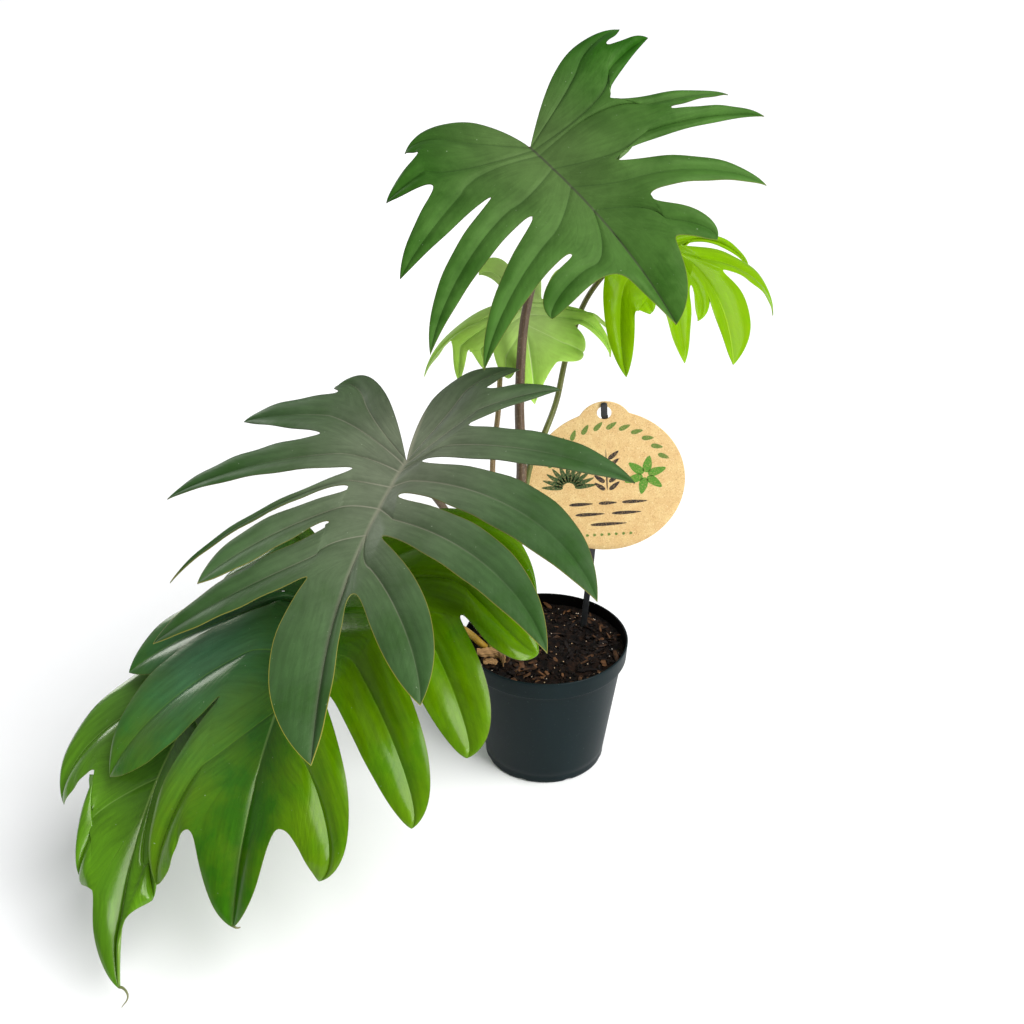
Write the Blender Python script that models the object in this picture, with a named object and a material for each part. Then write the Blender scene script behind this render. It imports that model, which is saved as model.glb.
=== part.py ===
# Potted philodendron with deeply cut leaves: pot, soil, stem, leaf stalks, blades, dry sheaths and label.
# Metres, +Z up. The origin is the centre of the pot's base, on the floor, and the front faces -Y.

import bpy
import numpy as np

# Pot: a round nursery pot with a rim band. The inside is one straight cone.
potHeight = 0.100
rimRadius = 0.060
rimBandHeight = 0.0135
rimBandTaper = 0.0008
wallTopRadius = 0.0562
baseRadius = 0.0440
wallThickness = 0.0010
rimThickness = 0.0026
floorThickness = 0.0025
footNotches = 8
footNotchSize = (0.008, 0.009, 0.0012)
roundSteps = 64

# Soil: fills the pot to just under the rim, a little higher in the middle.
soilEdgeHeight = 0.0915
soilTopHeight = 0.0930
soilGap = 0.0004
holeClearance = 0.0005
plantingDepth = 0.026

# Blades and stalks.
bladeThickness = 0.0007
ribDepth = 0.0009
ribStart = 15
seatGap = 0.0005
webRows = 3
lobeRows = 5
tipCrowding = 1.3
shoulderSplit = 0.4
tubeSides = 8
tubeStep = 0.012
tubeAcross = (0.7, -0.7, 0.0)

# Label: a round card with a tab, on a flat stake.
cardCentre = (0.0423, 0.0217, 0.2155)
cardRadius = 0.0548
cardThickness = 0.0008
cardLean = 4.0
tabRadius = 0.0195
tabRise = 0.0425
tabFillet = 0.006
cardHoleRadius = 0.0050
cardHoleRise = 0.0535
stakeWidth = 0.0046
stakeThickness = 0.0014
stakeFoot = (0.0290, 0.0240)

# A leaf is drawn flat in millimetres: "along" runs down the midrib from the point where the stalk
# meets it, "across" is the distance from the midrib. Each lobe of a half is one row of
# (tip along, tip across, notch along, notch across, half width of the notch,
#  swelling of the near edge, swelling of the far edge, droop of the tip),
# where the notch is the one on the lobe's far side, towards the leaf's tip. A rounded tip adds its
# extra half widths on the near and far side, as blunt does for the rest.
# pose is heading, dip and roll in degrees. arch is the bend along the midrib in degrees per metre,
# fold the rise of each half at the midrib, and curl its bend outwards in degrees per metre.
# blunt is the extra half width near a lobe's tip in millimetres.
# lead is how far a vein runs on straight before it turns into its lobe, as a share of its way there.
leaves = {
    "leaf_top": dict(
        origin=(-0.013, 0.043, 0.444), pose=(-49, 28, 26), arch=70, fold=10, curl=150, sway=4,
        length=153, veins=[0, 3, 9, 22, 40, 62, 84], tipSwell=(0.0, 0.14), tipDroop=4,
        blunt=1, lead=0.3, shoulderLeft=(-30, 8, -62, 38), shoulderRight=(-22, 26, -58, 66),
        right=[
            (-45, 106, -32, 86, 3, 0.00, 0.06, 6),
            (-28, 117, 5, 60, 8, 0.05, -0.02, 6),
            (37, 131, 34, 84, 2, 0.01, 0.03, 12),
            (64, 139, 43, 32, 7, 0.05, -0.02, 12),
            (107, 106, 77, 33, 8, 0.10, -0.04, 14),
            (123, 52, 109, 29, 4, 0.14, 0.02, 6, 6, 1),
        ],
        left=[
            (-44, 67, -35, 62, 2, 0.00, 0.04, 3),
            (-23, 96, -8, 69, 5, 0.02, 0.02, 8),
            (26, 121, 21, 47, 3, 0.04, 0.01, 12),
            (80, 137, 47, 36, 5, 0.10, -0.04, 12),
            (109, 116, 82, 33, 5, 0.08, -0.04, 12),
            (108, 65, 108, 17, 10, 0.20, -0.04, 6, 5, 5),
        ],
    ),
    "leaf_middle": dict(
        origin=(-0.091, -0.061, 0.273), pose=(-104, 20, 5), arch=50, fold=10, curl=150, sway=-10,
        length=211, veins=[0, 4, 10, 26, 48, 74, 104], tipSwell=(0.19, 0.05), tipDroop=6,
        blunt=2, lead=0.15, shoulderLeft=(-36, 16, -98, 48), shoulderRight=(-45, -6, -96, 8),
        right=[
            (-94, 52, -63, 39, 3, 0.00, 0.03, 6),
            (-76, 84, -27, 36, 5, 0.04, 0.02, 8),
            (-8, 144, 4, 14, 8, 0.09, 0.02, 16),
            (85, 147, 33, 11, 5, 0.20, -0.04, 16),
            (126, 126, 66, 14, 5, 0.18, -0.04, 14),
            (170, 60, 108, 9, 8, 0.19, 0.04, 10),
        ],
        left=[
            (-60, 68, -52, 63, 3, 0.00, 0.04, 0),
            (-37, 131, -12, 61, 4, 0.04, 0.04, 8),
            (31, 159, 15, 28, 4, 0.07, 0.00, 10),
            (101, 120, 30, 24, 6, 0.05, -0.05, 12),
            (112, 89, 59, 24, 5, 0.14, 0.09, -4),
            (144, 117, 100, 23, 3, 0.03, 0.06, 14),
        ],
    ),
    "leaf_lower": dict(
        origin=(-0.138, -0.103, 0.205), pose=(-108, 22, 4), arch=150, fold=10, curl=150, sway=-4,
        length=213, veins=[0, 6, 22, 50, 86, 124], tipSwell=(0.05, 0.05), tipDroop=4,
        blunt=5, lead=0.3, shoulderLeft=(-30, 12, -55, 40), shoulderRight=(-60, 0, -110, 100),
        right=[
            (-21, 129, -31, 85, 4, 0.00, 0.00, 12),
            (21, 143, 13, 95, 4, 0.05, 0.16, 8, 5, 12),
            (93, 121, 29, 49, 6, 0.15, 0.02, 12, 14, 5),
            (139, 99, 75, 32, 6, 0.13, 0.00, 12, 14, 5),
            (178, 49, 154, 26, 8, 0.18, -0.02, 12, 12, -2),
        ],
        left=[
            (-40, 55, -22, 42, 4, 0.00, 0.06, 4),
            (12, 76, 12, 24, 3, 0.06, 0.10, 8),
            (77, 111, 21, 26, 3, 0.16, 0.06, 8),
            (143, 99, 87, 35, 3, 0.10, 0.10, 8),
            (199, 54, 164, 32, 6, 0.10, 0.06, 10),
        ],
    ),
    "leaf_lowest": dict(
        origin=(-0.203, -0.101, 0.157), pose=(-108, 26, 0), arch=100, fold=10, curl=150, sway=-16,
        length=215, veins=[0, 12, 48, 92, 138], tipSwell=(0.10, -0.02), tipDroop=4,
        blunt=2, lead=0.3, shoulderLeft=(-20, 10, -40, 30), shoulderRight=(-20, 10, -40, 30),
        right=[
            (-25, 42, -8, 34, 3, 0.00, 0.00, 2),
            (30, 58, 28, 34, 4, 0.10, 0.00, 4),
            (100, 48, 108, 18, 4, 0.14, 0.00, 4),
            (161, 18, 176, 6, 8, 0.02, -0.05, 4),
        ],
        left=[
            (-25, 42, -8, 34, 3, 0.00, 0.00, 2),
            (2, 48, 12, 32, 4, 0.10, 0.00, 4),
            (120, 59, 98, 38, 4, 0.16, 0.00, 12),
            (161, 30, 165, 19, 4, 0.06, 0.00, 4),
        ],
    ),
    "leaf_pale": dict(
        origin=(-0.018, 0.064, 0.335), pose=(-80, 35, 0), arch=250, fold=10, curl=500, sway=0,
        length=77, veins=[0, 2, 6, 12, 20, 30], tipSwell=(0.10, -0.05), tipDroop=4,
        blunt=1, lead=0.05, shoulderLeft=(-36, -2, -46, 22), shoulderRight=(-10, 2, -30, 4),
        right=[
            (-30, 15, 3, 14, 2, 0.00, 0.04, 0),
            (-24, 32, 9, 26, 3, 0.08, 0.04, 0),
            (25, 72, 16, 48, 1, 0.10, -0.06, 20),
            (38, 63, 23, 33, 3, 0.11, -0.10, 20),
            (40, 39, 51, 17, 4, 0.16, 0.20, 10),
        ],
        left=[
            (-22, 27, 4, 12, 2, 0.00, -0.20, 0),
            (37, 71, 29, 52, 2, 0.14, 0.02, 30),
            (51, 48, 37, 41, 2, 0.06, 0.04, 20),
            (47, 31, 38, 26, 2, 0.04, 0.04, 12),
            (57, 16, 50, 8, 2, 0.12, 0.06, 8),
        ],
    ),
    "leaf_young": dict(
        origin=(0.075, 0.095, 0.371), pose=(-45, 35, 0), arch=150, fold=10, curl=300, sway=16,
        length=107, veins=[0, 4, 10, 18, 27], tipSwell=(0.07, 0.16), tipDroop=4,
        blunt=1, lead=0.05, shoulderLeft=(-20, 30, 30, 130), shoulderRight=(-12, 6, -26, 16),
        right=[
            (-22, 26, -6, 22, 2, 0.00, 0.04, 0),
            (2, 50, 12, 34, 3, 0.06, 0.04, 0),
            (47, 57, 15, 5, 4, 0.20, -0.17, 10),
            (84, 69, 44, 16, 4, 0.17, -0.04, 16),
        ],
        left=[
            (82, 85, 48, 77, 2, 0.00, -0.08, 24),
            (52, 64, 39, 52, 2, 0.06, 0.06, 4),
            (92, 44, 46, 23, 3, 0.18, -0.06, 12),
            (70, 29, 32, 4, 2, -0.02, 0.14, 4),
        ],
    ),
}
backArch = 60
plainShoulder = 0.80
roundShoulder = 0.92

# Stalk routes, from the foot up. Each ends at its leaf, where a seat point is added.
plantedLow = soilTopHeight - plantingDepth
plantedHigh = soilTopHeight + 0.0015
stemFoot = (-0.0300, 0.0060)
lowerFoot = (-0.0400, -0.0010)
lowestFoot = (-0.0455, -0.0090)
stemRoute = [
    (*stemFoot, plantedLow), (*stemFoot, plantedHigh), (-0.0300, 0.0050, 0.1000),
    (-0.0275, -0.0015, 0.1350), (-0.0245, -0.0050, 0.1680),
]
stemRadii = (0.0048, 0.0040)
stalks = {
    "stalk_top": dict(
        leaf="leaf_top", radii=(0.0039, 0.0025), roundFoot=False,
        route=[(-0.0244, -0.0051, 0.1689), (-0.0222, -0.0058, 0.1900), (-0.0180, 0.0005, 0.2320),
               (-0.0195, 0.0120, 0.2790), (-0.0170, 0.0220, 0.3290), (-0.0100, 0.0300, 0.3700),
               (-0.0090, 0.0360, 0.4150)]),
    "stalk_pale": dict(
        leaf="leaf_pale", radii=(0.0021, 0.0018), roundFoot=True,
        route=[(-0.0314, 0.0014, 0.1460), (-0.0345, 0.0060, 0.1800), (-0.0380, 0.0140, 0.2290),
               (-0.0340, 0.0310, 0.2660), (-0.0310, 0.0490, 0.3040), (-0.0220, 0.0600, 0.3250)]),
    "stalk_young": dict(
        leaf="leaf_young", radii=(0.0024, 0.0018), roundFoot=True,
        route=[(-0.0211, 0.0012, 0.1420), (-0.0180, 0.0070, 0.1900), (-0.0125, 0.0140, 0.2300),
               (-0.0015, 0.0180, 0.2570), (0.0065, 0.0350, 0.2730), (0.0140, 0.0560, 0.2990),
               (0.0280, 0.0740, 0.3330), (0.0560, 0.0900, 0.3620)]),
    "stalk_middle": dict(
        leaf="leaf_middle", radii=(0.0030, 0.0024), roundFoot=True,
        route=[(-0.0341, -0.0047, 0.1280), (-0.0430, -0.0140, 0.1600), (-0.0640, -0.0340, 0.2150),
               (-0.0830, -0.0530, 0.2560)]),
    "stalk_lower": dict(
        leaf="leaf_lower", radii=(0.0027, 0.0023), roundFoot=False,
        route=[(*lowerFoot, plantedLow), (*lowerFoot, plantedHigh), (-0.0405, -0.0015, 0.1000),
               (-0.0560, -0.0160, 0.1350), (-0.0900, -0.0530, 0.1680), (-0.1240, -0.0890, 0.1890)]),
    "stalk_lowest": dict(
        leaf="leaf_lowest", radii=(0.0027, 0.0022), roundFoot=False,
        route=[(*lowestFoot, plantedLow), (*lowestFoot, plantedHigh), (-0.0465, -0.0085, 0.0990),
               (-0.0700, -0.0180, 0.1220), (-0.1200, -0.0520, 0.1330), (-0.1750, -0.0850, 0.1430)]),
}

# Dry brown sheaths: two on the soil beside the stalks, one left standing on the stem.
sheaths = {
    "dry_sheath_long": dict(
        width=0.0050, across=(0.2, 0.5, 0.8),
        route=[(-0.0500, -0.0170, 0.0980), (-0.0430, -0.0160, 0.0968), (-0.0360, -0.0155, 0.0963),
               (-0.0315, -0.0200, 0.0958), (-0.0295, -0.0290, 0.0956)]),
    "dry_sheath_short": dict(
        width=0.0040, across=(0.3, 1.0, 0.2),
        route=[(-0.0450, -0.0240, 0.0934), (-0.0400, -0.0230, 0.0942), (-0.0350, -0.0250, 0.0937)]),
    "dry_sheath_stem": dict(
        width=0.0042, across=(0.7, 0.7, 0.0),
        route=[(-0.0227, -0.0059, 0.1440), (-0.0190, -0.0100, 0.1570), (-0.0150, -0.0140, 0.1680)]),
}
sheathThickness = 0.0008


def clearScene():
    for item in list(bpy.data.objects):
        bpy.data.objects.remove(item, do_unlink=True)


def plainMaterial(name, colour, roughness, metallic=0.0):
    material = bpy.data.materials.new(name)
    material.use_nodes = True
    shader = material.node_tree.nodes["Principled BSDF"]
    shader.inputs["Base Color"].default_value = (*colour, 1.0)
    shader.inputs["Roughness"].default_value = roughness
    shader.inputs["Metallic"].default_value = metallic
    material.diffuse_color = (*colour, 1.0)
    return material


def addObject(name, points, faces, material, smooth=True):
    mesh = bpy.data.meshes.new(name)
    mesh.from_pydata([tuple(map(float, p)) for p in points], [], [tuple(map(int, f)) for f in faces])
    if smooth:
        mesh.shade_smooth()
        mesh.set_sharp_from_angle(angle=np.radians(40))
    mesh.materials.append(material)
    item = bpy.data.objects.new(name, mesh)
    bpy.context.collection.objects.link(item)
    return item


def unit(vector):
    vector = np.asarray(vector, float)
    return vector / np.linalg.norm(vector, axis=-1, keepdims=True)


def turned(name, profile, material):
    """Turns a profile of (radius, height), which runs down its outer side, about the Z axis."""
    points = [(radius, 0.0, height) for radius, height in profile]
    edges = [(i, i + 1) for i in range(len(points) - 1)]
    mesh = bpy.data.meshes.new(name)
    mesh.from_pydata(points, edges, [])
    mesh.materials.append(material)
    item = bpy.data.objects.new(name, mesh)
    bpy.context.collection.objects.link(item)
    screw = item.modifiers.new("turn", "SCREW")
    screw.steps = roundSteps
    screw.render_steps = roundSteps
    screw.use_merge_vertices = True
    screw.merge_threshold = 0.00001
    screw.use_smooth_shade = True
    return item


def cut(item, cutter):
    """Takes a hidden cutter out of an object."""
    cutter.hide_render = True
    cutter.display_type = "WIRE"
    boolean = item.modifiers.new("cut " + cutter.name, "BOOLEAN")
    boolean.operation = "DIFFERENCE"
    boolean.solver = "EXACT"
    boolean.object = cutter


def boxCutter(name, size, place, turn):
    bpy.ops.mesh.primitive_cube_add(size=1.0)
    item = bpy.context.object
    item.name = name
    item.scale = size
    item.location = place
    item.rotation_euler = (0, 0, turn)
    return item


def roundCutter(name, radius, low, high):
    bpy.ops.mesh.primitive_cylinder_add(vertices=16, radius=radius, depth=high - low)
    item = bpy.context.object
    item.name = name
    return item


def innerRadius(height):
    """Inside radius of the pot's wall at a height."""
    low, high = baseRadius - wallThickness, rimRadius - rimThickness
    return low + (high - low) * (height - floorThickness) / (potHeight - floorThickness)


def buildPot():
    rimLow = potHeight - rimBandHeight
    profile = [
        (0.0, floorThickness),
        (innerRadius(floorThickness), floorThickness),
        (innerRadius(potHeight), potHeight),
        (rimRadius, potHeight),
        (rimRadius - rimBandTaper, rimLow),
        (wallTopRadius, rimLow - 0.0006),
        (baseRadius, 0.0010),
        (baseRadius - 0.0010, 0.0),
        (0.0, 0.0),
    ]
    pot = turned("pot", profile, plainMaterial("pot plastic", (0.018, 0.027, 0.034), 0.42))
    for index in range(footNotches):
        turn = 2 * np.pi * (index + 0.5) / footNotches
        place = (baseRadius * np.cos(turn), baseRadius * np.sin(turn), 0.0)
        depth, width, height = footNotchSize
        cut(pot, boxCutter(f"foot notch cutter {index}", (depth, width, 2 * height), place, turn))
    return pot


def buildSoil(feet):
    """feet holds (x, y, radius) of each thing that stands in the soil."""
    edgeRadius = innerRadius(soilEdgeHeight)
    low = floorThickness + soilGap
    profile = [
        (0.0, soilTopHeight),
        (edgeRadius * 0.6, soilTopHeight),
        (edgeRadius - soilGap, soilEdgeHeight),
        (innerRadius(low) - soilGap, low),
        (0.0, low),
    ]
    soil = turned("soil", profile, plainMaterial("potting soil", (0.030, 0.018, 0.012), 0.95))
    holeLow = plantedLow - 2 * holeClearance
    holeHigh = soilTopHeight + 0.010
    for index, (x, y, radius) in enumerate(feet):
        cutter = roundCutter(f"planting hole cutter {index}", radius + holeClearance, holeLow, holeHigh)
        cutter.location = (x, y, (holeLow + holeHigh) / 2)
        cut(soil, cutter)
    return soil


def smoothRoute(route, step):
    """Points along a Catmull-Rom curve through the route."""
    route = np.asarray(route, float)
    ends = np.vstack([2 * route[0] - route[1], route, 2 * route[-1] - route[-2]])
    pieces = []
    for i in range(1, len(ends) - 2):
        before, first, second, after = ends[i - 1:i + 3]
        count = max(2, int(np.ceil(np.linalg.norm(second - first) / step)))
        t = np.linspace(0, 1, count, endpoint=False)[:, None]
        pieces.append(0.5 * (
            2 * first + (second - before) * t
            + (2 * before - 5 * first + 4 * second - after) * t ** 2
            + (3 * first - before - 3 * second + after) * t ** 3))
    return np.vstack(pieces + [route[-1:]])


def sweep(path, section, across, scale, roundEnds=(False, False)):
    """Carries a closed section (x, y) along a path, scaled at each point, with flat or rounded ends.
    across is the direction that the section's x keeps."""
    tangent = unit(np.gradient(path, axis=0))
    side = unit(across - (tangent @ across)[:, None] * tangent)
    lift = np.cross(tangent, side)
    dome = [(0.6, 0.8), (0.95, 0.3)]
    rings = [(centre, i, scale[i]) for i, centre in enumerate(path)]
    last = len(path) - 1
    for far, narrow in dome:
        if roundEnds[0]:
            rings.insert(0, (path[0] - tangent[0] * far * scale[0], 0, narrow * scale[0]))
        if roundEnds[1]:
            rings.append((path[last] + tangent[last] * far * scale[last], last, narrow * scale[last]))
    points = [centre + size * (section[:, :1] * side[i] + section[:, 1:] * lift[i])
              for centre, i, size in rings]
    count = len(section)
    faces = []
    for ring in range(len(rings) - 1):
        for k in range(count):
            a = ring * count + k
            b = ring * count + (k + 1) % count
            faces.append((a, b, b + count, a + count))
    faces.append(tuple(range(count))[::-1])
    faces.append(tuple(range((len(rings) - 1) * count, len(rings) * count)))
    return np.vstack(points), faces


def buildTube(name, route, radii, material, roundEnds):
    path = smoothRoute(route, tubeStep)
    angle = np.linspace(0, 2 * np.pi, tubeSides, endpoint=False)
    section = np.column_stack([np.cos(angle), np.sin(angle)])
    share = np.linspace(0, 1, len(path))
    scale = radii[0] + (radii[1] - radii[0]) * share
    points, faces = sweep(path, section, np.array(tubeAcross), scale, roundEnds)
    return addObject(name, points, faces, material)


def buildStrip(name, route, width, thickness, across, material, step):
    path = smoothRoute(route, step)
    half = np.array([width, thickness]) / 2
    section = np.array([(-1, -1), (1, -1), (1, 1), (-1, 1)]) * half
    points, faces = sweep(path, section, unit(across), np.ones(len(path)))
    return addObject(name, points, faces, material, smooth=False)


def leafFrame(pose):
    """Unit vectors down the midrib, across the blade and up from its upper face."""
    heading, dip, roll = np.radians(pose)
    along = np.array([np.cos(heading) * np.cos(dip), np.sin(heading) * np.cos(dip), -np.sin(dip)])
    level = np.array([-np.sin(heading), np.cos(heading), 0.0])
    up = np.cross(along, level)
    across = level * np.cos(roll) + up * np.sin(roll)
    normal = up * np.cos(roll) - level * np.sin(roll)
    return along, across, normal


def bend(flat, droop, leaf):
    """Places flat points (along, across, in millimetres) on the bent blade, in metres."""
    along, across, normal = leafFrame(leaf["pose"])
    a, b = flat[:, 0] / 1000, flat[:, 1] / 1000
    sway = leaf["sway"] / 1000 * np.sin(np.pi * np.clip(flat[:, 0] / leaf["length"], 0, 1))
    rate = np.radians(np.where(a >= 0, leaf["arch"], backArch))
    turn = rate * a
    centre = (np.array(leaf["origin"]) + (np.sin(turn) / rate)[:, None] * along
              - ((1 - np.cos(turn)) / rate)[:, None] * normal)
    tilted = np.cos(turn)[:, None] * normal + np.sin(turn)[:, None] * along
    fold, curl = np.radians(leaf["fold"]), np.radians(leaf["curl"])
    width = np.abs(b)
    side = (np.sin(fold) - np.sin(fold - curl * width)) / curl
    lift = (np.cos(fold - curl * width) - np.cos(fold)) / curl - droop / 1000
    return centre + (side * np.sign(b) + sway)[:, None] * across + lift[:, None] * tilted


def curve(controls, t):
    """Bezier curve through its first and last control points."""
    layers = [np.asarray(point, float)[None] for point in controls]
    t = t[:, None]
    while len(layers) > 1:
        layers = [(1 - t) * p + t * q for p, q in zip(layers[:-1], layers[1:])]
    return layers[0]


def tipward(run):
    """Unit normal of a direction, on the side of the leaf's tip."""
    return unit((run[1], -run[0]))


def lobeEdge(notch, tip, opening, side, halfWidth, swell, tipForm, t):
    """Edge of a lobe from its notch to its tip: side is 1 on the far side and -1 on the near side.
    tipForm is the extra half width near the tip and where along the lobe it is."""
    blunt, shoulderAt = tipForm
    run = tip - notch
    out = tipward(run) * side
    belly = out * swell * np.linalg.norm(run)
    start = notch - tipward(opening) * side * halfWidth
    waist = notch + run * 0.4 + belly * 1.6
    shoulder = notch + run * shoulderAt + belly * 1.1 + out * blunt
    return curve([notch, start, waist, shoulder, tip], t)


def halfBlade(leaf, lobes, shoulder, tipSwell, columns):
    """Strips from each vein to the edges beside it: (grid of flat points, droop, side) for one half."""
    veins = leaf["veins"]
    count = len(lobes)
    tips = [np.array(lobe[0:2], float) for lobe in lobes] + [np.array([leaf["length"], 0.0])]
    notches = [np.array(lobe[2:4], float) for lobe in lobes]
    middles = [np.array([(veins[i] + veins[i + 1]) / 2, 0.0]) for i in range(count)]
    openings = [unit(unit(tips[i] - notches[i]) + unit(tips[i + 1] - notches[i])) for i in range(count)]
    share = np.linspace(0, 1, columns + 1)[None, :, None]
    lobeT = 1 - (1 - np.linspace(0, 1, lobeRows + 1)) ** tipCrowding
    webT = np.linspace(0, 1, webRows + 1)[:-1]

    def edgeOf(i, side):
        """Points from the midrib to a notch, and on from it to the tip of lobe i."""
        if side < 0 and i == 0:
            t = np.concatenate([shoulderSplit * webT, shoulderSplit + (1 - shoulderSplit) * lobeT])
            return curve([(veins[0], 0), shoulder[0:2], shoulder[2:4], tips[0]], t)
        k = i - 1 if side < 0 else i
        swell = tipSwell if i == count else lobes[i][5] if side < 0 else lobes[i][6]
        web = middles[k] + (notches[k] - middles[k]) * webT[:, None]
        own = lobes[i][8:] if i < count else ()
        tipForm = (own[(side + 1) // 2], roundShoulder) if own else (leaf["blunt"], plainShoulder)
        edge = lobeEdge(notches[k], tips[i], openings[k], side, lobes[k][4], swell, tipForm, lobeT)
        return np.vstack([web, edge])

    strips = []
    for i in range(count + 1):
        base = np.array([veins[i], 0.0])
        if i == count:
            split = np.mean([leaf["right"][-1][2], leaf["left"][-1][2]]) - base[0]
            row = np.concatenate([split * webT, split + (tips[i][0] - base[0] - split) * lobeT])
            vein = base + np.column_stack([row, 0 * row])
            edges = [(-1, edgeOf(i, -1))]
            droopTip = leaf["tipDroop"]
        else:
            edges = [(-1, edgeOf(i, -1)), (1, edgeOf(i, 1))]
            outer = (edges[0][1] + edges[1][1])[webRows:] / 2
            lead = unit(outer[1] - outer[0]) * np.linalg.norm(outer[0] - base) * leaf["lead"]
            vein = np.vstack([curve([base, outer[0] - lead, outer[0]], webT), outer])
            droopTip = lobes[i][7]
        droop = droopTip * np.concatenate([0 * webT, lobeT ** 2])
        for side, edge in edges:
            grid = vein[:, None] * (1 - share) + edge[:, None] * share
            strips.append((grid, np.repeat(droop[:, None], columns + 1, axis=1), side))
    return strips


def bladeSheet(leaf, columns):
    """Welded flat points, their droop and the triangles of a whole blade, upper face out."""
    halves = [(1, leaf["right"], leaf["shoulderRight"], leaf["tipSwell"][1]),
              (-1, leaf["left"], leaf["shoulderLeft"], leaf["tipSwell"][0])]
    flats, droops, faces = [], [], []
    total = 0
    for sign, lobes, shoulder, tipSwell in halves:
        for grid, droop, side in halfBlade(leaf, lobes, shoulder, tipSwell, columns):
            rows, wide = droop.shape
            index = total + np.arange(rows * wide).reshape(rows, wide)
            a, b, c, d = index[:-1, :-1], index[1:, :-1], index[1:, 1:], index[:-1, 1:]
            triangles = np.concatenate([np.stack([a, b, c], -1), np.stack([a, c, d], -1)]).reshape(-1, 3)
            faces.append(triangles[:, ::-1] if side * sign > 0 else triangles)
            flats.append(grid.reshape(-1, 2) * (1, sign))
            droops.append(droop.ravel())
            total += rows * wide
    flat = np.vstack(flats)
    _, first, index = np.unique(np.round(flat, 3) + 0.0, axis=0, return_index=True, return_inverse=True)
    faces = index.ravel()[np.vstack(faces)]
    whole = (faces[:, 0] != faces[:, 1]) & (faces[:, 1] != faces[:, 2]) & (faces[:, 2] != faces[:, 0])
    return flat[first], np.concatenate(droops)[first], faces[whole]


def vertexNormals(points, faces):
    corners = points[faces]
    facing = np.cross(corners[:, 1] - corners[:, 0], corners[:, 2] - corners[:, 0])
    total = np.zeros_like(points)
    for k in range(3):
        np.add.at(total, faces[:, k], facing)
    return unit(total)


def thicken(points, faces, above, below):
    """Closed solid of a sheet: the upper face raised by above and the lower one sunk by below."""
    normals = vertexNormals(points, faces)
    count = len(points)
    edges = np.concatenate([faces[:, [0, 1]], faces[:, [1, 2]], faces[:, [2, 0]]])
    keys = {tuple(edge) for edge in edges}
    rim = [(j, i, i + count, j + count) for i, j in edges if (j, i) not in keys]
    solid = np.vstack([points + normals * above[:, None], points - normals * below[:, None]])
    return solid, list(map(tuple, faces)) + list(map(tuple, faces[:, ::-1] + count)) + rim


def buildLeaf(name, leaf, columns, colour, roughness):
    flat, droop, faces = bladeSheet(leaf, columns)
    points = bend(flat, droop, leaf)
    half = np.full(len(flat), bladeThickness / 2)
    grown = np.clip(flat[:, 0] / ribStart, 0, 1) * (1 - flat[:, 0] / leaf["length"])
    rib = np.where(np.abs(flat[:, 1]) < 0.001, ribDepth * grown, 0.0)
    solid, solidFaces = thicken(points, faces, half, half + rib)
    return addObject(name, solid, solidFaces, plainMaterial(name + " blade", colour, roughness))


def stalkRoute(stalk):
    """The stalk's route, ended just under the point where the two halves of its blade meet."""
    leaf = leaves[stalk["leaf"]]
    normal = leafFrame(leaf["pose"])[2]
    sink = bladeThickness / 2 + seatGap + stalk["radii"][1]
    return stalk["route"] + [tuple(np.array(leaf["origin"]) - normal * sink)]


def cardOutline():
    """Main disc and the round tab above it, joined by small fillets, as (x, z) about the disc's centre."""
    # Each fillet's centre lies off both circles by the fillet's radius.
    toDisc, toTab = cardRadius + tabFillet, tabRadius + tabFillet
    rise = (toDisc ** 2 - toTab ** 2 + tabRise ** 2) / (2 * tabRise)
    reach = np.sqrt(toDisc ** 2 - rise ** 2)
    discTurn = np.arctan2(reach, rise)
    tabTurn = np.arctan2(reach, rise - tabRise)
    main = np.linspace(discTurn, 2 * np.pi - discTurn, 44)
    points = [(cardRadius * np.sin(a), cardRadius * np.cos(a)) for a in main]
    filletTurn = np.linspace(discTurn, tabTurn, 4)[1:]
    points += [(-reach + tabFillet * np.sin(a), rise - tabFillet * np.cos(a)) for a in filletTurn]
    tab = np.linspace(-tabTurn, tabTurn, 14)[1:]
    points += [(tabRadius * np.sin(a), tabRise + tabRadius * np.cos(a)) for a in tab]
    points += [(reach - tabFillet * np.sin(a), rise - tabFillet * np.cos(a)) for a in filletTurn[::-1][1:]]
    return np.array(points)


def leanCard(x, y, z):
    """World place of a point given about the card's centre, with the card's lean."""
    lean = np.radians(cardLean)
    return (cardCentre[0] + x * np.cos(lean) - z * np.sin(lean), cardCentre[1] + y,
            cardCentre[2] + x * np.sin(lean) + z * np.cos(lean))


def buildCard():
    outline = cardOutline()
    half = cardThickness / 2
    count = len(outline)
    points = [leanCard(x, -half, z) for x, z in outline] + [leanCard(x, half, z) for x, z in outline]
    faces = [tuple(range(count))[::-1], tuple(range(count, 2 * count))]
    faces += [(i, (i + 1) % count, (i + 1) % count + count, i + count) for i in range(count)]
    kraft = plainMaterial("kraft card", (0.72, 0.48, 0.22), 0.8)
    card = addObject("label_card", points, faces, kraft, smooth=False)
    hole = roundCutter("card hole cutter", cardHoleRadius, -0.005, 0.005)
    hole.rotation_euler = (np.pi / 2, 0, 0)
    hole.location = leanCard(0, 0, cardHoleRise)
    cut(card, hole)
    return card


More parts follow.
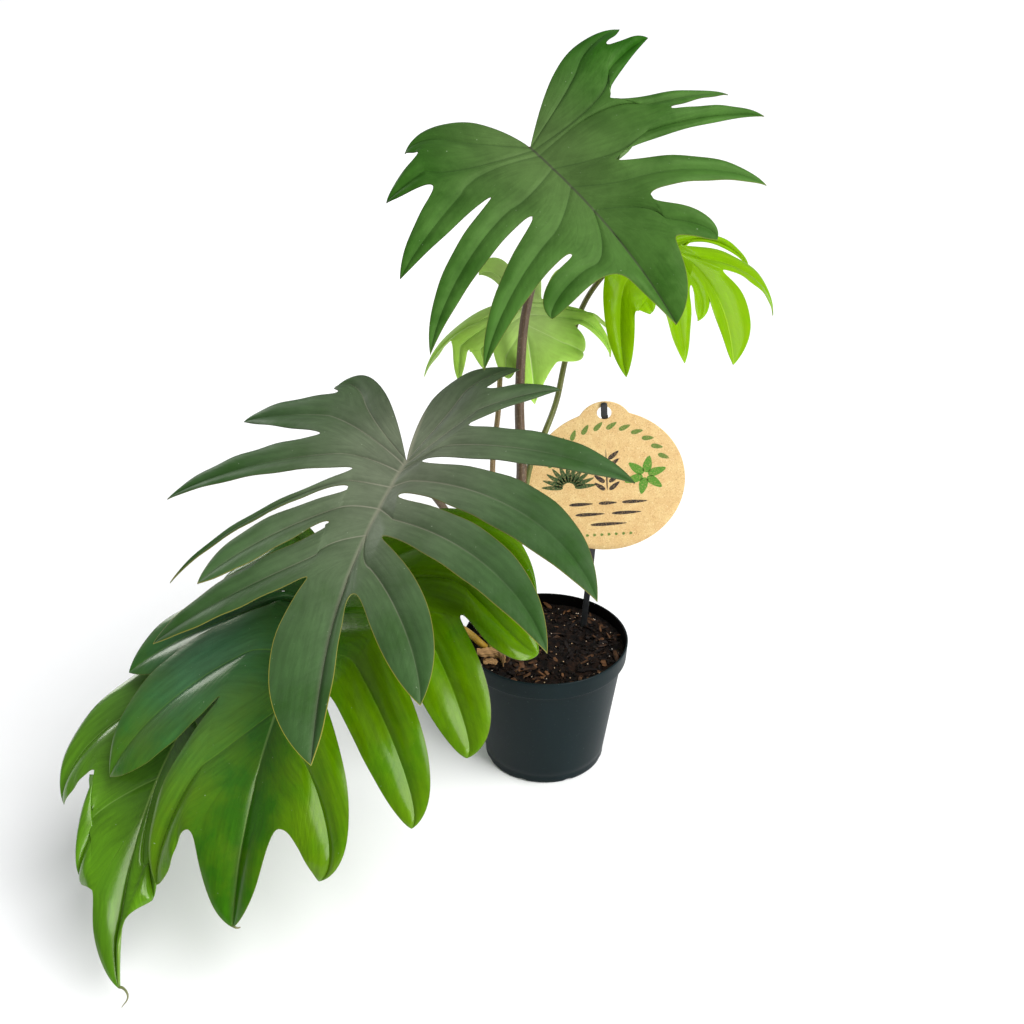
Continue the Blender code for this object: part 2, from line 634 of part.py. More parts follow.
def buildStake():
    """Runs up behind the card, through its hole and a little way up the front of its tab."""
    behind = cardThickness / 2 + seatGap + stakeThickness / 2
    run = cardHoleRadius + 0.0005
    route = [
        (*stakeFoot, plantedLow),
        (*stakeFoot, plantedHigh),
        (stakeFoot[0] + 0.0003, stakeFoot[1], plantedHigh + 0.006),
        leanCard(-0.0126, behind, -cardRadius),
        leanCard(-0.0065, behind, 0.0),
        leanCard(0, behind, cardHoleRise - run - 0.003),
        leanCard(0, 0.75 * behind, cardHoleRise - 0.55 * run),
        leanCard(0, -0.75 * behind, cardHoleRise + 0.55 * run),
        leanCard(0, -behind, cardHoleRise + run + 0.001),
        leanCard(0, -behind, tabRise + tabRadius),
    ]
    material = plainMaterial("stake plastic", (0.010, 0.011, 0.012), 0.45)
    return buildStrip("label_stake", route, stakeWidth, stakeThickness, (1, 0, 0), material, 0.02)


bladeLooks = {
    "leaf_top": (2, (0.045, 0.120, 0.045), 0.42),
    "leaf_middle": (2, (0.050, 0.095, 0.060), 0.42),
    "leaf_lower": (2, (0.040, 0.150, 0.025), 0.35),
    "leaf_lowest": (1, (0.045, 0.170, 0.030), 0.35),
    "leaf_pale": (1, (0.260, 0.520, 0.090), 0.45),
    "leaf_young": (1, (0.330, 0.620, 0.040), 0.40),
}
stalkColours = {
    "stalk_top": (0.060, 0.025, 0.020),
    "stalk_pale": (0.110, 0.060, 0.035),
    "stalk_young": (0.080, 0.090, 0.030),
    "stalk_middle": (0.090, 0.045, 0.030),
    "stalk_lower": (0.260, 0.260, 0.070),
    "stalk_lowest": (0.300, 0.180, 0.060),
}


def main():
    clearScene()
    feet = [(*stemFoot, stemRadii[0]), (*stakeFoot, stakeWidth / 2)]
    for name, foot in (("stalk_lower", lowerFoot), ("stalk_lowest", lowestFoot)):
        feet.append((*foot, stalks[name]["radii"][0]))
    buildPot()
    buildSoil(feet)
    bark = plainMaterial("stem bark", (0.130, 0.130, 0.040), 0.6)
    buildTube("stem", stemRoute, stemRadii, bark, (False, False))
    for name, stalk in stalks.items():
        material = plainMaterial(name + " skin", stalkColours[name], 0.45)
        buildTube(name, stalkRoute(stalk), stalk["radii"], material, (stalk["roundFoot"], True))
    for name, leaf in leaves.items():
        buildLeaf(name, leaf, *bladeLooks[name])
    dry = plainMaterial("dry sheath", (0.360, 0.220, 0.110), 0.85)
    for name, sheath in sheaths.items():
        buildStrip(name, sheath["route"], sheath["width"], sheathThickness, sheath["across"], dry, 0.004)
    buildCard()
    buildStake()


main()
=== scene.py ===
# Potted split-leaf philodendron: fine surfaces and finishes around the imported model.
# Metres throughout, but leaf outlines are drawn flat in millimetres and then bent into place.

import bpy
import numpy as np
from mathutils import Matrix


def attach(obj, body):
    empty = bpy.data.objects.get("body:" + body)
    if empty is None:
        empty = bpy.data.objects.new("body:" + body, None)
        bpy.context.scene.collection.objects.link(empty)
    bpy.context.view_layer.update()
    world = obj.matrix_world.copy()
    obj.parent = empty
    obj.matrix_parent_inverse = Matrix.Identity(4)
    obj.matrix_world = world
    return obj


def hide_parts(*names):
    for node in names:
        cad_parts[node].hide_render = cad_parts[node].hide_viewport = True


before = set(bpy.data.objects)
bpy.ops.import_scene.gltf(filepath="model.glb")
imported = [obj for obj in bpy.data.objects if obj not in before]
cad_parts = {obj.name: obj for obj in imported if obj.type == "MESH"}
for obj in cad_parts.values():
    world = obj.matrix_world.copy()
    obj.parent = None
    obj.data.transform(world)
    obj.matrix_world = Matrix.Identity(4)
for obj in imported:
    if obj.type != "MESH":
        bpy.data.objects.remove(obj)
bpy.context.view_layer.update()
print("frame loaded:", len(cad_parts), "nodes")


# sRGB hex to linear: ((c + 0.055) / 1.055) ** 2.4 above the toe, c / 12.92 below it
def hexColour(text):
    values = np.array([int(text[i:i + 2], 16) for i in (1, 3, 5)]) / 255
    linear = np.where(values <= 0.04045, values / 12.92, ((values + 0.055) / 1.055) ** 2.4)
    return (*linear.tolist(), 1.0)


# vector divided by its length
def unit(vector):
    vector = np.asarray(vector, float)
    return vector / np.maximum(np.linalg.norm(vector, axis=-1, keepdims=True), 1e-12)


# 0 below low, 1 above high, and 3s^2 - 2s^3 between
def smoothStep(low, high, value):
    s = np.clip((value - low) / (high - low), 0, 1)
    return s * s * (3 - 2 * s)


# bell curve, exp(-(away / width)^2)
def bell(away, width):
    return np.exp(-(away / width) ** 2)


# first of a pair at share 0, second at share 1
def between(pair, share):
    return pair[0] + (pair[1] - pair[0]) * share


# (x, y) turned by an angle
def rotate(x, y, angle):
    return x * np.cos(angle) - y * np.sin(angle), x * np.sin(angle) + y * np.cos(angle)


# equal steps round a full circle
def fullTurn(steps):
    return np.linspace(0, 2 * np.pi, steps, endpoint=False)


# distance run along a path at each of its points
def runAlong(path):
    return np.concatenate([[0], np.cumsum(np.linalg.norm(np.diff(path, axis=0), axis=1))])


# merges points that lie within a micrometre, and renumbers the faces
def weld(points, faces, decimals=6):
    keys = np.round(points, decimals) + 0.0
    _, first, index = np.unique(keys, axis=0, return_index=True, return_inverse=True)
    return first, index.ravel()[faces]


# grid (rows, columns, 3) to four-cornered faces, last column joined to the first if wrap
def gridFaces(rows, columns, wrap=False):
    index = np.arange(rows * columns).reshape(rows, columns)
    if wrap:
        index = np.column_stack([index, index[:, 0]])
    corners = [index[:-1, :-1], index[1:, :-1], index[1:, 1:], index[:-1, 1:]]
    return np.stack(corners, -1).reshape(-1, 4)


# closed grids (copies, rows, columns, 3) to points and faces, and which grid points those are
def closedGrids(grids):
    copies, rows, columns = grids.shape[:3]
    faces = gridFaces(rows, columns, wrap=True) + rows * columns * np.arange(copies)[:, None, None]
    first, faces = weld(grids.reshape(-1, 3), faces.reshape(-1, 4))
    return grids.reshape(-1, 3)[first], faces, first


# turns every face round if the signed volume, sum of a . (b x c) / 6, is below zero
def outward(points, faces):
    a, b, c, d = (points[faces[:, k]] for k in range(4))
    volume = np.einsum("ij,ij->", a, np.cross(b, c)) + np.einsum("ij,ij->", a, np.cross(c, d))
    return faces[:, ::-1] if volume < 0 else faces


# puts an object into the scene
def addObject(name, data):
    item = bpy.data.objects.new(name, data)
    bpy.context.collection.objects.link(item)
    return item


# puts points and faces into a mesh, rides it on the plant and lets it stand for its CAD nodes
def addPiece(name, points, faces, material, nodes=(), attributes=None, sharpAngle=50):
    faces = outward(points, faces)
    keep = faces != np.roll(faces, -1, axis=1)  # a corner equal to the next one is dropped
    real = keep.sum(axis=1) > 2
    faces, keep = faces[real], keep[real]
    totals = keep.sum(axis=1)
    starts = np.cumsum(totals) - totals
    mesh = bpy.data.meshes.new(name)
    mesh.vertices.add(len(points))
    mesh.vertices.foreach_set("co", np.ascontiguousarray(points, np.float32).ravel())
    mesh.loops.add(int(totals.sum()))
    mesh.loops.foreach_set("vertex_index", faces[keep].astype(np.int32))
    mesh.polygons.add(len(totals))
    mesh.polygons.foreach_set("loop_start", starts.astype(np.int32))
    mesh.update(calc_edges=True)
    mesh.validate()
    mesh.shade_smooth()
    mesh.set_sharp_from_angle(angle=np.radians(sharpAngle))
    for key, values in (attributes or {}).items():
        layer = mesh.attributes.new(key, "FLOAT", "POINT")
        layer.data.foreach_set("value", np.ascontiguousarray(values, np.float32))
    mesh.materials.append(material)
    piece = addObject(name, mesh)
    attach(piece, "root")
    if nodes:
        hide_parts(*nodes)


# gives an input a plain value or a hex colour, or links it to another node's output
def feed(socket, value):
    if isinstance(value, bpy.types.NodeSocket):
        socket.id_data.links.new(value, socket)
    else:
        socket.default_value = hexColour(value) if isinstance(value, str) else value


# Adds a node and returns its first shown output, or the one named. Plain values and outputs of other
# nodes fill its shown inputs in order, and named ones are its properties or inputs.
def addNode(tree, kind, *inputs, output=None, **named):
    item = tree.nodes.new("ShaderNode" + kind)
    for key, value in named.items():
        if hasattr(item, key):
            setattr(item, key, value)
        else:
            feed(item.inputs[key], value)
    for socket, value in zip([socket for socket in item.inputs if socket.enabled], inputs):
        feed(socket, value)
    return item.outputs[output] if output else next(socket for socket in item.outputs if socket.enabled)


# a new material and its nodes
def newMaterial(name):
    material = bpy.data.materials.new(name)
    material.use_nodes = True
    return material, material.node_tree


# feeds the Principled shader by the names of its inputs
def finish(material, inputs):
    shader = material.node_tree.nodes["Principled BSDF"]
    for key, value in inputs.items():
        feed(shader.inputs[key], value)
    return material


# streaks that run with a surface: noise on (across, run), each stretched by its scale
def streaks(tree, across, run, scale, *detail):
    flow = addNode(tree, "CombineXYZ", across, run)
    return addNode(tree, "TexNoise", addNode(tree, "Mapping", flow, Scale=(*scale, 1.0)), 1.0, *detail)


# colour with a tint where a noise lies above low, by up to amount at high
def flecked(tree, colour, tint, noise, low, high, amount):
    share = addNode(tree, "MapRange", noise, low, high, 0.0, amount)
    return addNode(tree, "Mix", share, colour, tint, data_type="RGBA")


# Leaves
leafGrid = dict(webRows=14, lobeRows=32, columns=12, spread=1.4, crowd=1.3, shoulderSplit=0.4)
leafForm = dict(
    thickness=0.0005,  # a real blade is about 0.4 mm
    groove=0.45, grooveWidth=1.5,  # vein sunk into the upper face, mm
    ridge=0.45, ridgeWidth=0.9, ridgeFrom=8,  # vein standing out of the lower face, mm
    midribRidge=1.0, midribWidth=1.5, midribFrom=15,  # the same for the midrib, mm
    veinTaper=0.7, taperRun=120,  # share by which a side vein thins over this run, mm
    wave=0.5, waveLength=34.0, waveShift=40,  # waviness of the margins, mm
    flankTurn=0.75, turnFull=0.4,  # how far a lobe's flank turns down at its edge, and from where in full
    sharedTone=0.5,  # share of a lobe over which it loses its neighbour's tone
    freshFrom=40,  # a lobe has all its own freshness this far from the midrib, mm
    waistAt=0.4, waistBelly=1.6, shoulderBelly=1.1, plainShoulder=0.8, roundShoulder=0.92,
    backArch=60,  # degrees a metre behind the stalk
    sheenLength=0.7, veinLength=0.45)  # below 1, the ovals of these tints are longer than wide
bladeReads = ("veinGap", "rimGap", "ribGap", "run", "tone", "paintedSheen", "veinFade", "ahead", "under")

# Each blade has its origin and pose (heading, dip, roll in degrees) at the stalk, the bends that bend()
# uses, veins as distances down the midrib where the side veins leave it, lead as the share of a side vein
# that aims at its lobe, the control points of the shoulders beside the stalk, blunt as a tip's extra half
# width, tipSwell and tipDroop of the lobe at the midrib's end, and how fresh the other lobes are.
# "along" runs down the midrib from the stalk, "across" is the distance from it, both in mm. A lobe is
# (tip along, tip across, notch along, notch across, half width of the notch,
#  swelling of the near edge, swelling of the far edge, droop of the tip), and for a rounded tip also
# its extra half widths on the near and far side
leaves = {
    "leaf_top": dict(
        origin=(-0.013, 0.043, 0.444), pose=(-49, 28, 26), arch=70, fold=10, curl=150, sway=4,
        length=153, veins=[0, 3, 9, 22, 40, 62, 84], tipSwell=(0.0, 0.14), tipDroop=4,
        blunt=1, lead=0.3, shoulderLeft=(-30, 8, -62, 38), shoulderRight=(-22, 26, -58, 66),
        right=[
            (-45, 106, -32, 86, 3, 0, 0.06, 6),
            (-28, 117, 5, 60, 8, 0.05, -0.02, 6),
            (37, 131, 34, 84, 2, 0.01, 0.03, 12),
            (64, 139, 43, 32, 7, 0.05, -0.02, 12),
            (107, 106, 77, 33, 8, 0.1, -0.04, 14),
            (123, 52, 109, 29, 4, 0.14, 0.02, 6, 6, 1),
        ],
        left=[
            (-44, 67, -35, 62, 2, 0, 0.04, 3),
            (-23, 96, -8, 69, 5, 0.02, 0.02, 8),
            (26, 121, 21, 47, 3, 0.04, 0.01, 12),
            (80, 137, 47, 36, 5, 0.1, -0.04, 12),
            (109, 116, 82, 33, 5, 0.08, -0.04, 12),
            (108, 65, 108, 17, 10, 0.2, -0.04, 6, 5, 5),
        ],
        freshRight=(1.0, 0.9, 0.1), freshLeft=(0.9, 0.7, 0.2),
    ),
    "leaf_middle": dict(
        origin=(-0.091, -0.061, 0.273), pose=(-104, 20, 5), arch=50, fold=10, curl=150, sway=-10,
        length=211, veins=[0, 4, 10, 23, 41, 62, 92], tipSwell=(0.19, 0.05), tipDroop=6,
        blunt=2, lead=0.32, shoulderLeft=(-36, 16, -98, 48), shoulderRight=(-45, -6, -96, 8),
        right=[
            (-94, 52, -63, 39, 3, 0, 0.03, 6),
            (-76, 84, -27, 36, 5, 0.04, 0.02, 8),
            (-8, 144, 4, 14, 8, 0.09, 0.02, 16),
            (85, 147, 33, 11, 9, 0.2, -0.04, 16),
            (126, 126, 66, 14, 5, 0.18, -0.04, 14),
            (170, 60, 108, 9, 8, 0.19, 0.04, 10),
        ],
        left=[
            (-60, 68, -52, 63, 3, 0, 0.04, 0),
            (-37, 131, -12, 61, 4, 0.04, 0.04, 8),
            (31, 159, 15, 28, 4, 0.07, 0, 10),
            (101, 120, 30, 24, 9, 0.05, -0.05, 12),
            (112, 89, 59, 24, 9, 0.14, 0.05, -4),
            (144, 117, 100, 23, 3, 0.03, 0.06, 14),
        ],
    ),
    "leaf_lower": dict(
        origin=(-0.138, -0.103, 0.205), pose=(-108, 22, 4), arch=150, fold=10, curl=150, sway=-4,
        length=213, veins=[0, 6, 22, 50, 86, 124], tipSwell=(0.05, 0.05), tipDroop=4,
        blunt=5, lead=0.3, shoulderLeft=(-30, 12, -55, 40), shoulderRight=(-60, 0, -110, 100),
        right=[
            (-21, 129, -31, 85, 4, 0, 0, 12),
            (21, 143, 13, 95, 4, 0.05, 0.16, 8, 5, 12),
            (93, 121, 29, 49, 6, 0.15, 0.02, 12, 14, 5),
            (139, 99, 75, 32, 6, 0.13, 0, 12, 14, 5),
            (178, 49, 154, 26, 8, 0.18, -0.02, 12, 12, -2),
        ],
        left=[
            (-40, 55, -22, 42, 4, 0, 0.06, 4),
            (12, 76, 12, 24, 3, 0.06, 0.17, 8),
            (77, 111, 21, 26, 2, 0.2, 0.15, 8),
            (143, 99, 87, 35, 3, 0.17, 0.1, 8),
            (199, 54, 164, 32, 6, 0.1, 0.06, 10),
        ],
        freshRight=(0.9, 1.0, 0.8, 0.8, 0.8), freshLeft=(0.7, 0.3, 0.1, 0.3, 0.8),
    ),
    "leaf_lowest": dict(
        origin=(-0.203, -0.101, 0.157), pose=(-108, 26, 0), arch=100, fold=10, curl=150, sway=-16,
        length=215, veins=[0, 12, 48, 92, 138], tipSwell=(0.1, -0.02), tipDroop=4,
        blunt=2, lead=0.3, shoulderLeft=(-20, 10, -40, 30), shoulderRight=(-20, 10, -40, 30),
        right=[
            (-25, 42, -8, 34, 3, 0, 0, 2),
            (30, 58, 28, 34, 4, 0.1, 0, 4),
            (100, 48, 108, 18, 4, 0.14, 0, 4),
            (161, 18, 176, 6, 8, 0.02, -0.05, 4),
        ],
        left=[
            (-25, 42, -8, 34, 3, 0, 0, 2),
            (2, 48, 12, 32, 4, 0.1, 0, 4),
            (120, 59, 98, 38, 4, 0.16, 0, 12),
            (161, 30, 165, 19, 4, 0.06, 0, 4),
        ],
        freshRight=(0.5, 0.6, 0.7, 0.9), freshLeft=(0.5, 0.6, 0.7, 0.9),
    ),
    "leaf_pale": dict(
        origin=(-0.018, 0.064, 0.335), pose=(-80, 35, 0), arch=250, fold=10, curl=500, sway=0,
        length=77, veins=[0, 2, 6, 12, 20, 30], tipSwell=(0.1, -0.05), tipDroop=4,
        blunt=1, lead=0.05, shoulderLeft=(-36, -2, -46, 22), shoulderRight=(-10, 2, -30, 4),
        right=[
            (-30, 15, 3, 14, 2, 0, 0.04, 0),
            (-24, 32, 9, 26, 3, 0.08, 0.04, 0),
            (25, 72, 16, 48, 1, 0.1, -0.06, 20),
            (38, 63, 23, 33, 3, 0.11, -0.1, 20),
            (40, 39, 51, 17, 4, 0.16, 0.2, 10),
        ],
        left=[
            (-22, 27, 4, 12, 2, 0, -0.2, 0),
            (37, 71, 29, 52, 2, 0.14, 0.02, 30),
            (51, 48, 37, 41, 2, 0.06, 0.04, 20),
            (47, 31, 38, 26, 2, 0.04, 0.04, 12),
            (57, 16, 50, 8, 2, 0.12, 0.06, 8),
        ],
    ),
    "leaf_young": dict(
        origin=(0.075, 0.095, 0.371), pose=(-45, 35, 0), arch=150, fold=10, curl=300, sway=16,
        length=107, veins=[0, 4, 10, 18, 27], tipSwell=(0.16, 0.24), tipDroop=4,
        blunt=1, lead=0.05, shoulderLeft=(-20, 30, 30, 130), shoulderRight=(-12, 6, -26, 16),
        right=[
            (-22, 26, -6, 22, 2, 0, 0.04, 0),
            (2, 50, 12, 34, 3, 0.06, 0.04, 0),
            (47, 57, 15, 5, 4, 0.2, -0.17, 10),
            (84, 69, 44, 16, 4, 0.17, -0.04, 16),
        ],
        left=[
            (82, 85, 48, 77, 2, 0, -0.08, 24),
            (52, 64, 39, 52, 2, 0.06, 0.06, 4),
            (92, 44, 46, 23, 3, 0.18, -0.06, 12),
            (70, 29, 32, 4, 2, 0.08, 0.22, 3),
        ],
    ),
}

# Tints: base, fresh on younger lobes, paintedSheen, a painted sheen about the stalk or sheenAt, vein and
# midrib with their shares, rim at the stalk's end and farRim at the tip, under for the lower side, and
# shineTint for highlights. rise is the height of a lobe's flanks over its vein, midribWidth, sheenReach and
# veinReach are how far those tints go, all in mm, and grain is how far the streaks go from the colour
leafLooks = {
    "leaf_top": dict(
        base="#3c6324", fresh="#1c5200", paintedSheen="#4a6334", sheenReach=60, vein="#2a4222", veinShare=0.35,
        midrib="#3f4434", midribShare=0.85, midribWidth=1.3, veinReach=90, rim="#2c241c", farRim="#7c8436",
        under="#6b8a50", rough=0.45, coat=0.0, shine=0.18, shineTint="#d8f0b0", rise=2.4, grain=0.11),
    "leaf_middle": dict(
        base="#335228", fresh="#2a580e", paintedSheen="#626a56", sheenReach=72, vein="#8d8b7a", veinShare=0.75,
        midrib="#858572", midribShare=0.75, midribWidth=2.6, veinReach=62, rim="#34301f", farRim="#b7a83e",
        under="#6d8a5a", rough=0.45, coat=0.0, shine=0.22, shineTint="#e8f4d8", rise=3.2, grain=0.14),
    "leaf_lower": dict(
        base="#285a00", fresh="#547c00", paintedSheen="#3a5e42", sheenReach=50, sheenAt=(50, -58), vein="#7aa63c",
        veinShare=0.25, midrib="#7c9a56", midribShare=0.55, midribWidth=1.3, veinReach=120, rim="#3c3a1e",
        farRim="#6c7a2a", under="#5d8a28", rough=0.27, coat=0.32, shine=0.24, shineTint="#e0f080", rise=4.8,
        grain=0.18),
    "leaf_lowest": dict(
        base="#426f08", fresh="#4e7e06", paintedSheen="#48663a", sheenReach=60, vein="#8cae5c", veinShare=0.35,
        midrib="#8fae5c", midribShare=0.6, midribWidth=1.2, veinReach=160, rim="#3e4c14", farRim="#6f8a30",
        under="#5f8a34", rough=0.22, coat=0.5, shine=0.26, shineTint="#e0f080", rise=5.0, grain=0.2),
    "leaf_pale": dict(
        base="#9ac848", fresh="#b0d45c", paintedSheen="#bcd884", sheenReach=30, vein="#d8e8a8", veinShare=0.4,
        midrib="#d8e8a8", midribShare=0.6, midribWidth=0.9, veinReach=60, rim="#bcd870", farRim="#bcd870",
        under="#b8d47c", rough=0.44, coat=0.0, shine=0.25, shineTint="#f0f8c0", rise=1.8, grain=0.09),
    "leaf_young": dict(
        base="#6c9800", fresh="#8cb606", paintedSheen="#648e00", sheenReach=30, vein="#96ba28", veinShare=0.4,
        midrib="#96ba28", midribShare=0.6, midribWidth=0.9, veinReach=90, rim="#8cb010", farRim="#8cb010",
        under="#84aa10", rough=0.32, coat=0.1, shine=0.14, shineTint="#e8f060", rise=2.4, grain=0.09),
}


# Bezier curve through its first and last control points, by repeated mixing
def bezier(controls, t):
    layers = [np.asarray(point, float)[None] for point in controls]
    t = t[:, None]
    while len(layers) > 1:
        layers = [(1 - t) * p + t * q for p, q in zip(layers[:-1], layers[1:])]
    return layers[0]


# unit normal of a direction, on the side of the leaf's tip
def tipward(run):
    return unit((run[1], -run[0]))


# edge of a lobe from notch to tip: Bezier with a round start of halfWidth and a belly of swell x run
def lobeEdge(notch, tip, opening, side, halfWidth, swell, tipForm, t):
    blunt, shoulderAt = tipForm
    run = tip - notch
    out = tipward(run) * side
    belly = out * swell * np.linalg.norm(run)
    start = notch - tipward(opening) * side * halfWidth
    waist = notch + run * leafForm["waistAt"] + belly * leafForm["waistBelly"]
    shoulder = notch + run * shoulderAt + belly * leafForm["shoulderBelly"] + out * blunt
    return bezier([notch, start, waist, shoulder, tip], t)


# Strips of one half, each from a vein to one edge. Point = vein x (1 - share) + edge x share.
# Along a lobe, t = 0 at its notch and 1 at its tip: droop goes with t^2 and the flanks' rise with 1 - t^3.
def halfStrips(leaf, lobes, shoulder, tipSwell, fresh):
    veins, count, split = leaf["veins"], len(lobes), leafGrid["shoulderSplit"]
    tips = [np.array(lobe[0:2], float) for lobe in lobes] + [np.array([leaf["length"], 0.0])]
    notches = [np.array(lobe[2:4], float) for lobe in lobes]
    middles = [np.array([(veins[i] + veins[i + 1]) / 2, 0.0]) for i in range(count)]
    openings = [unit(unit(tips[i] - notches[i]) + unit(tips[i + 1] - notches[i])) for i in range(count)]
    lobeT = 1 - (1 - np.linspace(0, 1, leafGrid["lobeRows"] + 1)) ** leafGrid["crowd"]
    webT = np.linspace(0, 1, leafGrid["webRows"] + 1)[:-1] ** leafGrid["crowd"]
    share = np.linspace(0, 1, leafGrid["columns"] + 1)[None, :] ** leafGrid["spread"]
    webZero, webOne = 0 * webT, 0 * webT + 1

    # points from the midrib to a notch and on to the tip, and how far each is from a true margin
    def edgeOf(i, side):
        if side < 0 and i == 0:
            t = np.concatenate([split * webT, split + (1 - split) * lobeT])
            return bezier([(veins[0], 0), shoulder[0:2], shoulder[2:4], tips[0]], t), np.zeros(len(t))
        k = i - 1 if side < 0 else i
        swell = tipSwell if i == count else lobes[i][5 if side < 0 else 6]
        own = lobes[i][8:] if i < count else ()
        tipForm = ((own[(side + 1) // 2], leafForm["roundShoulder"]) if own
                   else (leaf["blunt"], leafForm["plainShoulder"]))
        web = between((middles[k], notches[k]), webT[:, None])
        edge = lobeEdge(notches[k], tips[i], openings[k], side, lobes[k][4], swell, tipForm, lobeT)
        inner = np.linalg.norm(web - notches[k], axis=1)
        return np.vstack([web, edge]), np.concatenate([inner, 0 * lobeT])

    strips, owners, tones = [], [], []
    for i in range(count + 1):
        base = np.array([veins[i], 0.0])
        if i == count:
            reach = np.mean([leaf["right"][-1][2], leaf["left"][-1][2]]) - base[0]
            row = np.concatenate([reach * webT, between((reach, tips[i][0] - base[0]), lobeT)])
            vein = base + np.column_stack([row, 0 * row])
            edges = [(-1, *edgeOf(i, -1))]
            droopTip = leaf["tipDroop"]
        else:
            edges = [(-1, *edgeOf(i, -1)), (1, *edgeOf(i, 1))]
            outer = (edges[0][1] + edges[1][1])[len(webT):] / 2
            lead = unit(outer[1] - outer[0]) * np.linalg.norm(outer[0] - base) * leaf["lead"]
            vein = np.vstack([bezier([base, outer[0] - lead, outer[0]], webT), outer])
            droopTip = lobes[i][7]
        run = runAlong(vein)[:, None]
        droop = droopTip * np.concatenate([webZero, lobeT ** 2])[:, None]
        rise = np.concatenate([webT, 1 - lobeT ** 3])[:, None]
        turnDown = np.concatenate([webZero, smoothStep(0, leafForm["turnFull"], lobeT)])[:, None]
        flank = between((1 - (1 - share) ** 2, np.sin(np.pi * leafForm["flankTurn"] * share)), turnDown)
        wave = np.concatenate([webZero, np.sin(np.pi * lobeT)])[:, None] * share ** 2
        tones.append((fresh[i] if i < len(fresh) else 0.0) * smoothStep(0, leafForm["freshFrom"], run))
        for side, edge, inner in edges:
            width = np.linalg.norm(edge - vein, axis=1)[:, None]
            strips.append(dict(
                side=side, flat=between((vein[:, None], edge[:, None]), share[..., None]),
                droop=droop + 0 * share, rise=rise * flank, wave=wave, veinGap=share * width,
                run=run + 0 * share, rimGap=(1 - share) * width + inner[:, None]))
            owners.append(i)
    # towards the web that two lobes share, the tone goes to the mean of both
    fading = 1 - smoothStep(0, leafForm["sharedTone"], lobeT)
    shared = np.concatenate([webOne, fading])[:, None] * share ** 2 / 2
    for strip, i in zip(strips, owners):
        strip["tone"] = between((tones[i], tones[min(max(i + strip["side"], 0), count)]), shared)
    return strips


# Whole blade, welded flat: points, faces with the upper side out, and every measure as one array
def bladeSheet(leaf):
    halves = [(1, leaf["right"], leaf["shoulderRight"], leaf["tipSwell"][1], leaf.get("freshRight", ())),
              (-1, leaf["left"], leaf["shoulderLeft"], leaf["tipSwell"][0], leaf.get("freshLeft", ()))]
    measures = {key: [] for key in ("droop", "rise", "wave", "veinGap", "rimGap", "run", "tone")}
    flats, faces, total = [], [], 0
    for sign, lobes, shoulder, tipSwell, fresh in halves:
        for strip in halfStrips(leaf, lobes, shoulder, tipSwell, fresh):
            quads = gridFaces(*strip["droop"].shape) + total
            faces.append(quads[:, ::-1] if strip["side"] * sign > 0 else quads)
            flats.append(strip["flat"].reshape(-1, 2) * (1, sign))
            for key in measures:
                measures[key].append(strip[key].ravel())
            total += strip["droop"].size
    flat = np.vstack(flats)
    first, faces = weld(flat, np.vstack(faces), 3)
    return flat[first], faces, {key: np.concatenate(values)[first] for key, values in measures.items()}


# unit vectors down the midrib, across the blade and up from its upper face
def leafFrame(pose):
    heading, dip, roll = np.radians(pose)
    along = np.array([np.cos(heading) * np.cos(dip), np.sin(heading) * np.cos(dip), -np.sin(dip)])
    level = np.array([-np.sin(heading), np.cos(heading), 0.0])
    up = np.cross(along, level)
    return along, level * np.cos(roll) + up * np.sin(roll), up * np.cos(roll) - level * np.sin(roll)


# Flat to space: the midrib is an arc of arch degrees a metre, and each half an arc of curl degrees a
# metre that starts at the fold angle. Height above it is lift - droop.
def bend(flat, droop, leaf):
    along, across, normal = leafFrame(leaf["pose"])
    a, b = flat[:, 0] / 1000, flat[:, 1] / 1000
    sway = leaf["sway"] / 1000 * np.sin(np.pi * np.clip(flat[:, 0] / leaf["length"], 0, 1))
    rate = np.radians(np.where(a >= 0, leaf["arch"], leafForm["backArch"]))
    turn = rate * a
    centre = (np.array(leaf["origin"]) + (np.sin(turn) / rate)[:, None] * along
              - ((1 - np.cos(turn)) / rate)[:, None] * normal)
    tilted = np.cos(turn)[:, None] * normal + np.sin(turn)[:, None] * along
    fold, curl = np.radians(leaf["fold"]), np.radians(leaf["curl"])
    width = np.abs(b)
    side = (np.sin(fold) - np.sin(fold - curl * width)) / curl
    lift = (np.cos(fold - curl * width) - np.cos(fold)) / curl - droop / 1000
    return centre + (side * np.sign(b) + sway)[:, None] * across + lift[:, None] * tilted


# vertex normal = sum of the normals of its faces, each the cross product of the diagonals
def pointNormals(points, faces):
    facing = np.cross(points[faces[:, 2]] - points[faces[:, 0]], points[faces[:, 3]] - points[faces[:, 1]])
    total = np.zeros_like(points)
    for k in range(4):
        np.add.at(total, faces[:, k], facing)
    return unit(total)


# Closed blade: each point moves along its normal by half the thickness, and the open rim is joined
def thicken(points, faces, above, below):
    normals, count = pointNormals(points, faces), len(points)
    start, end = faces.ravel(), np.roll(faces, -1, axis=1).ravel()
    start, end = start[start != end], end[start != end]
    isOpen = ~np.isin(start * count + end, end * count + start)
    i, j = start[isOpen], end[isOpen]
    rim = np.column_stack([j, i, i + count, j + count])
    solid = np.vstack([points + normals * above[:, None], points - normals * below[:, None]])
    return solid, np.vstack([faces, faces[:, ::-1] + count, rim])


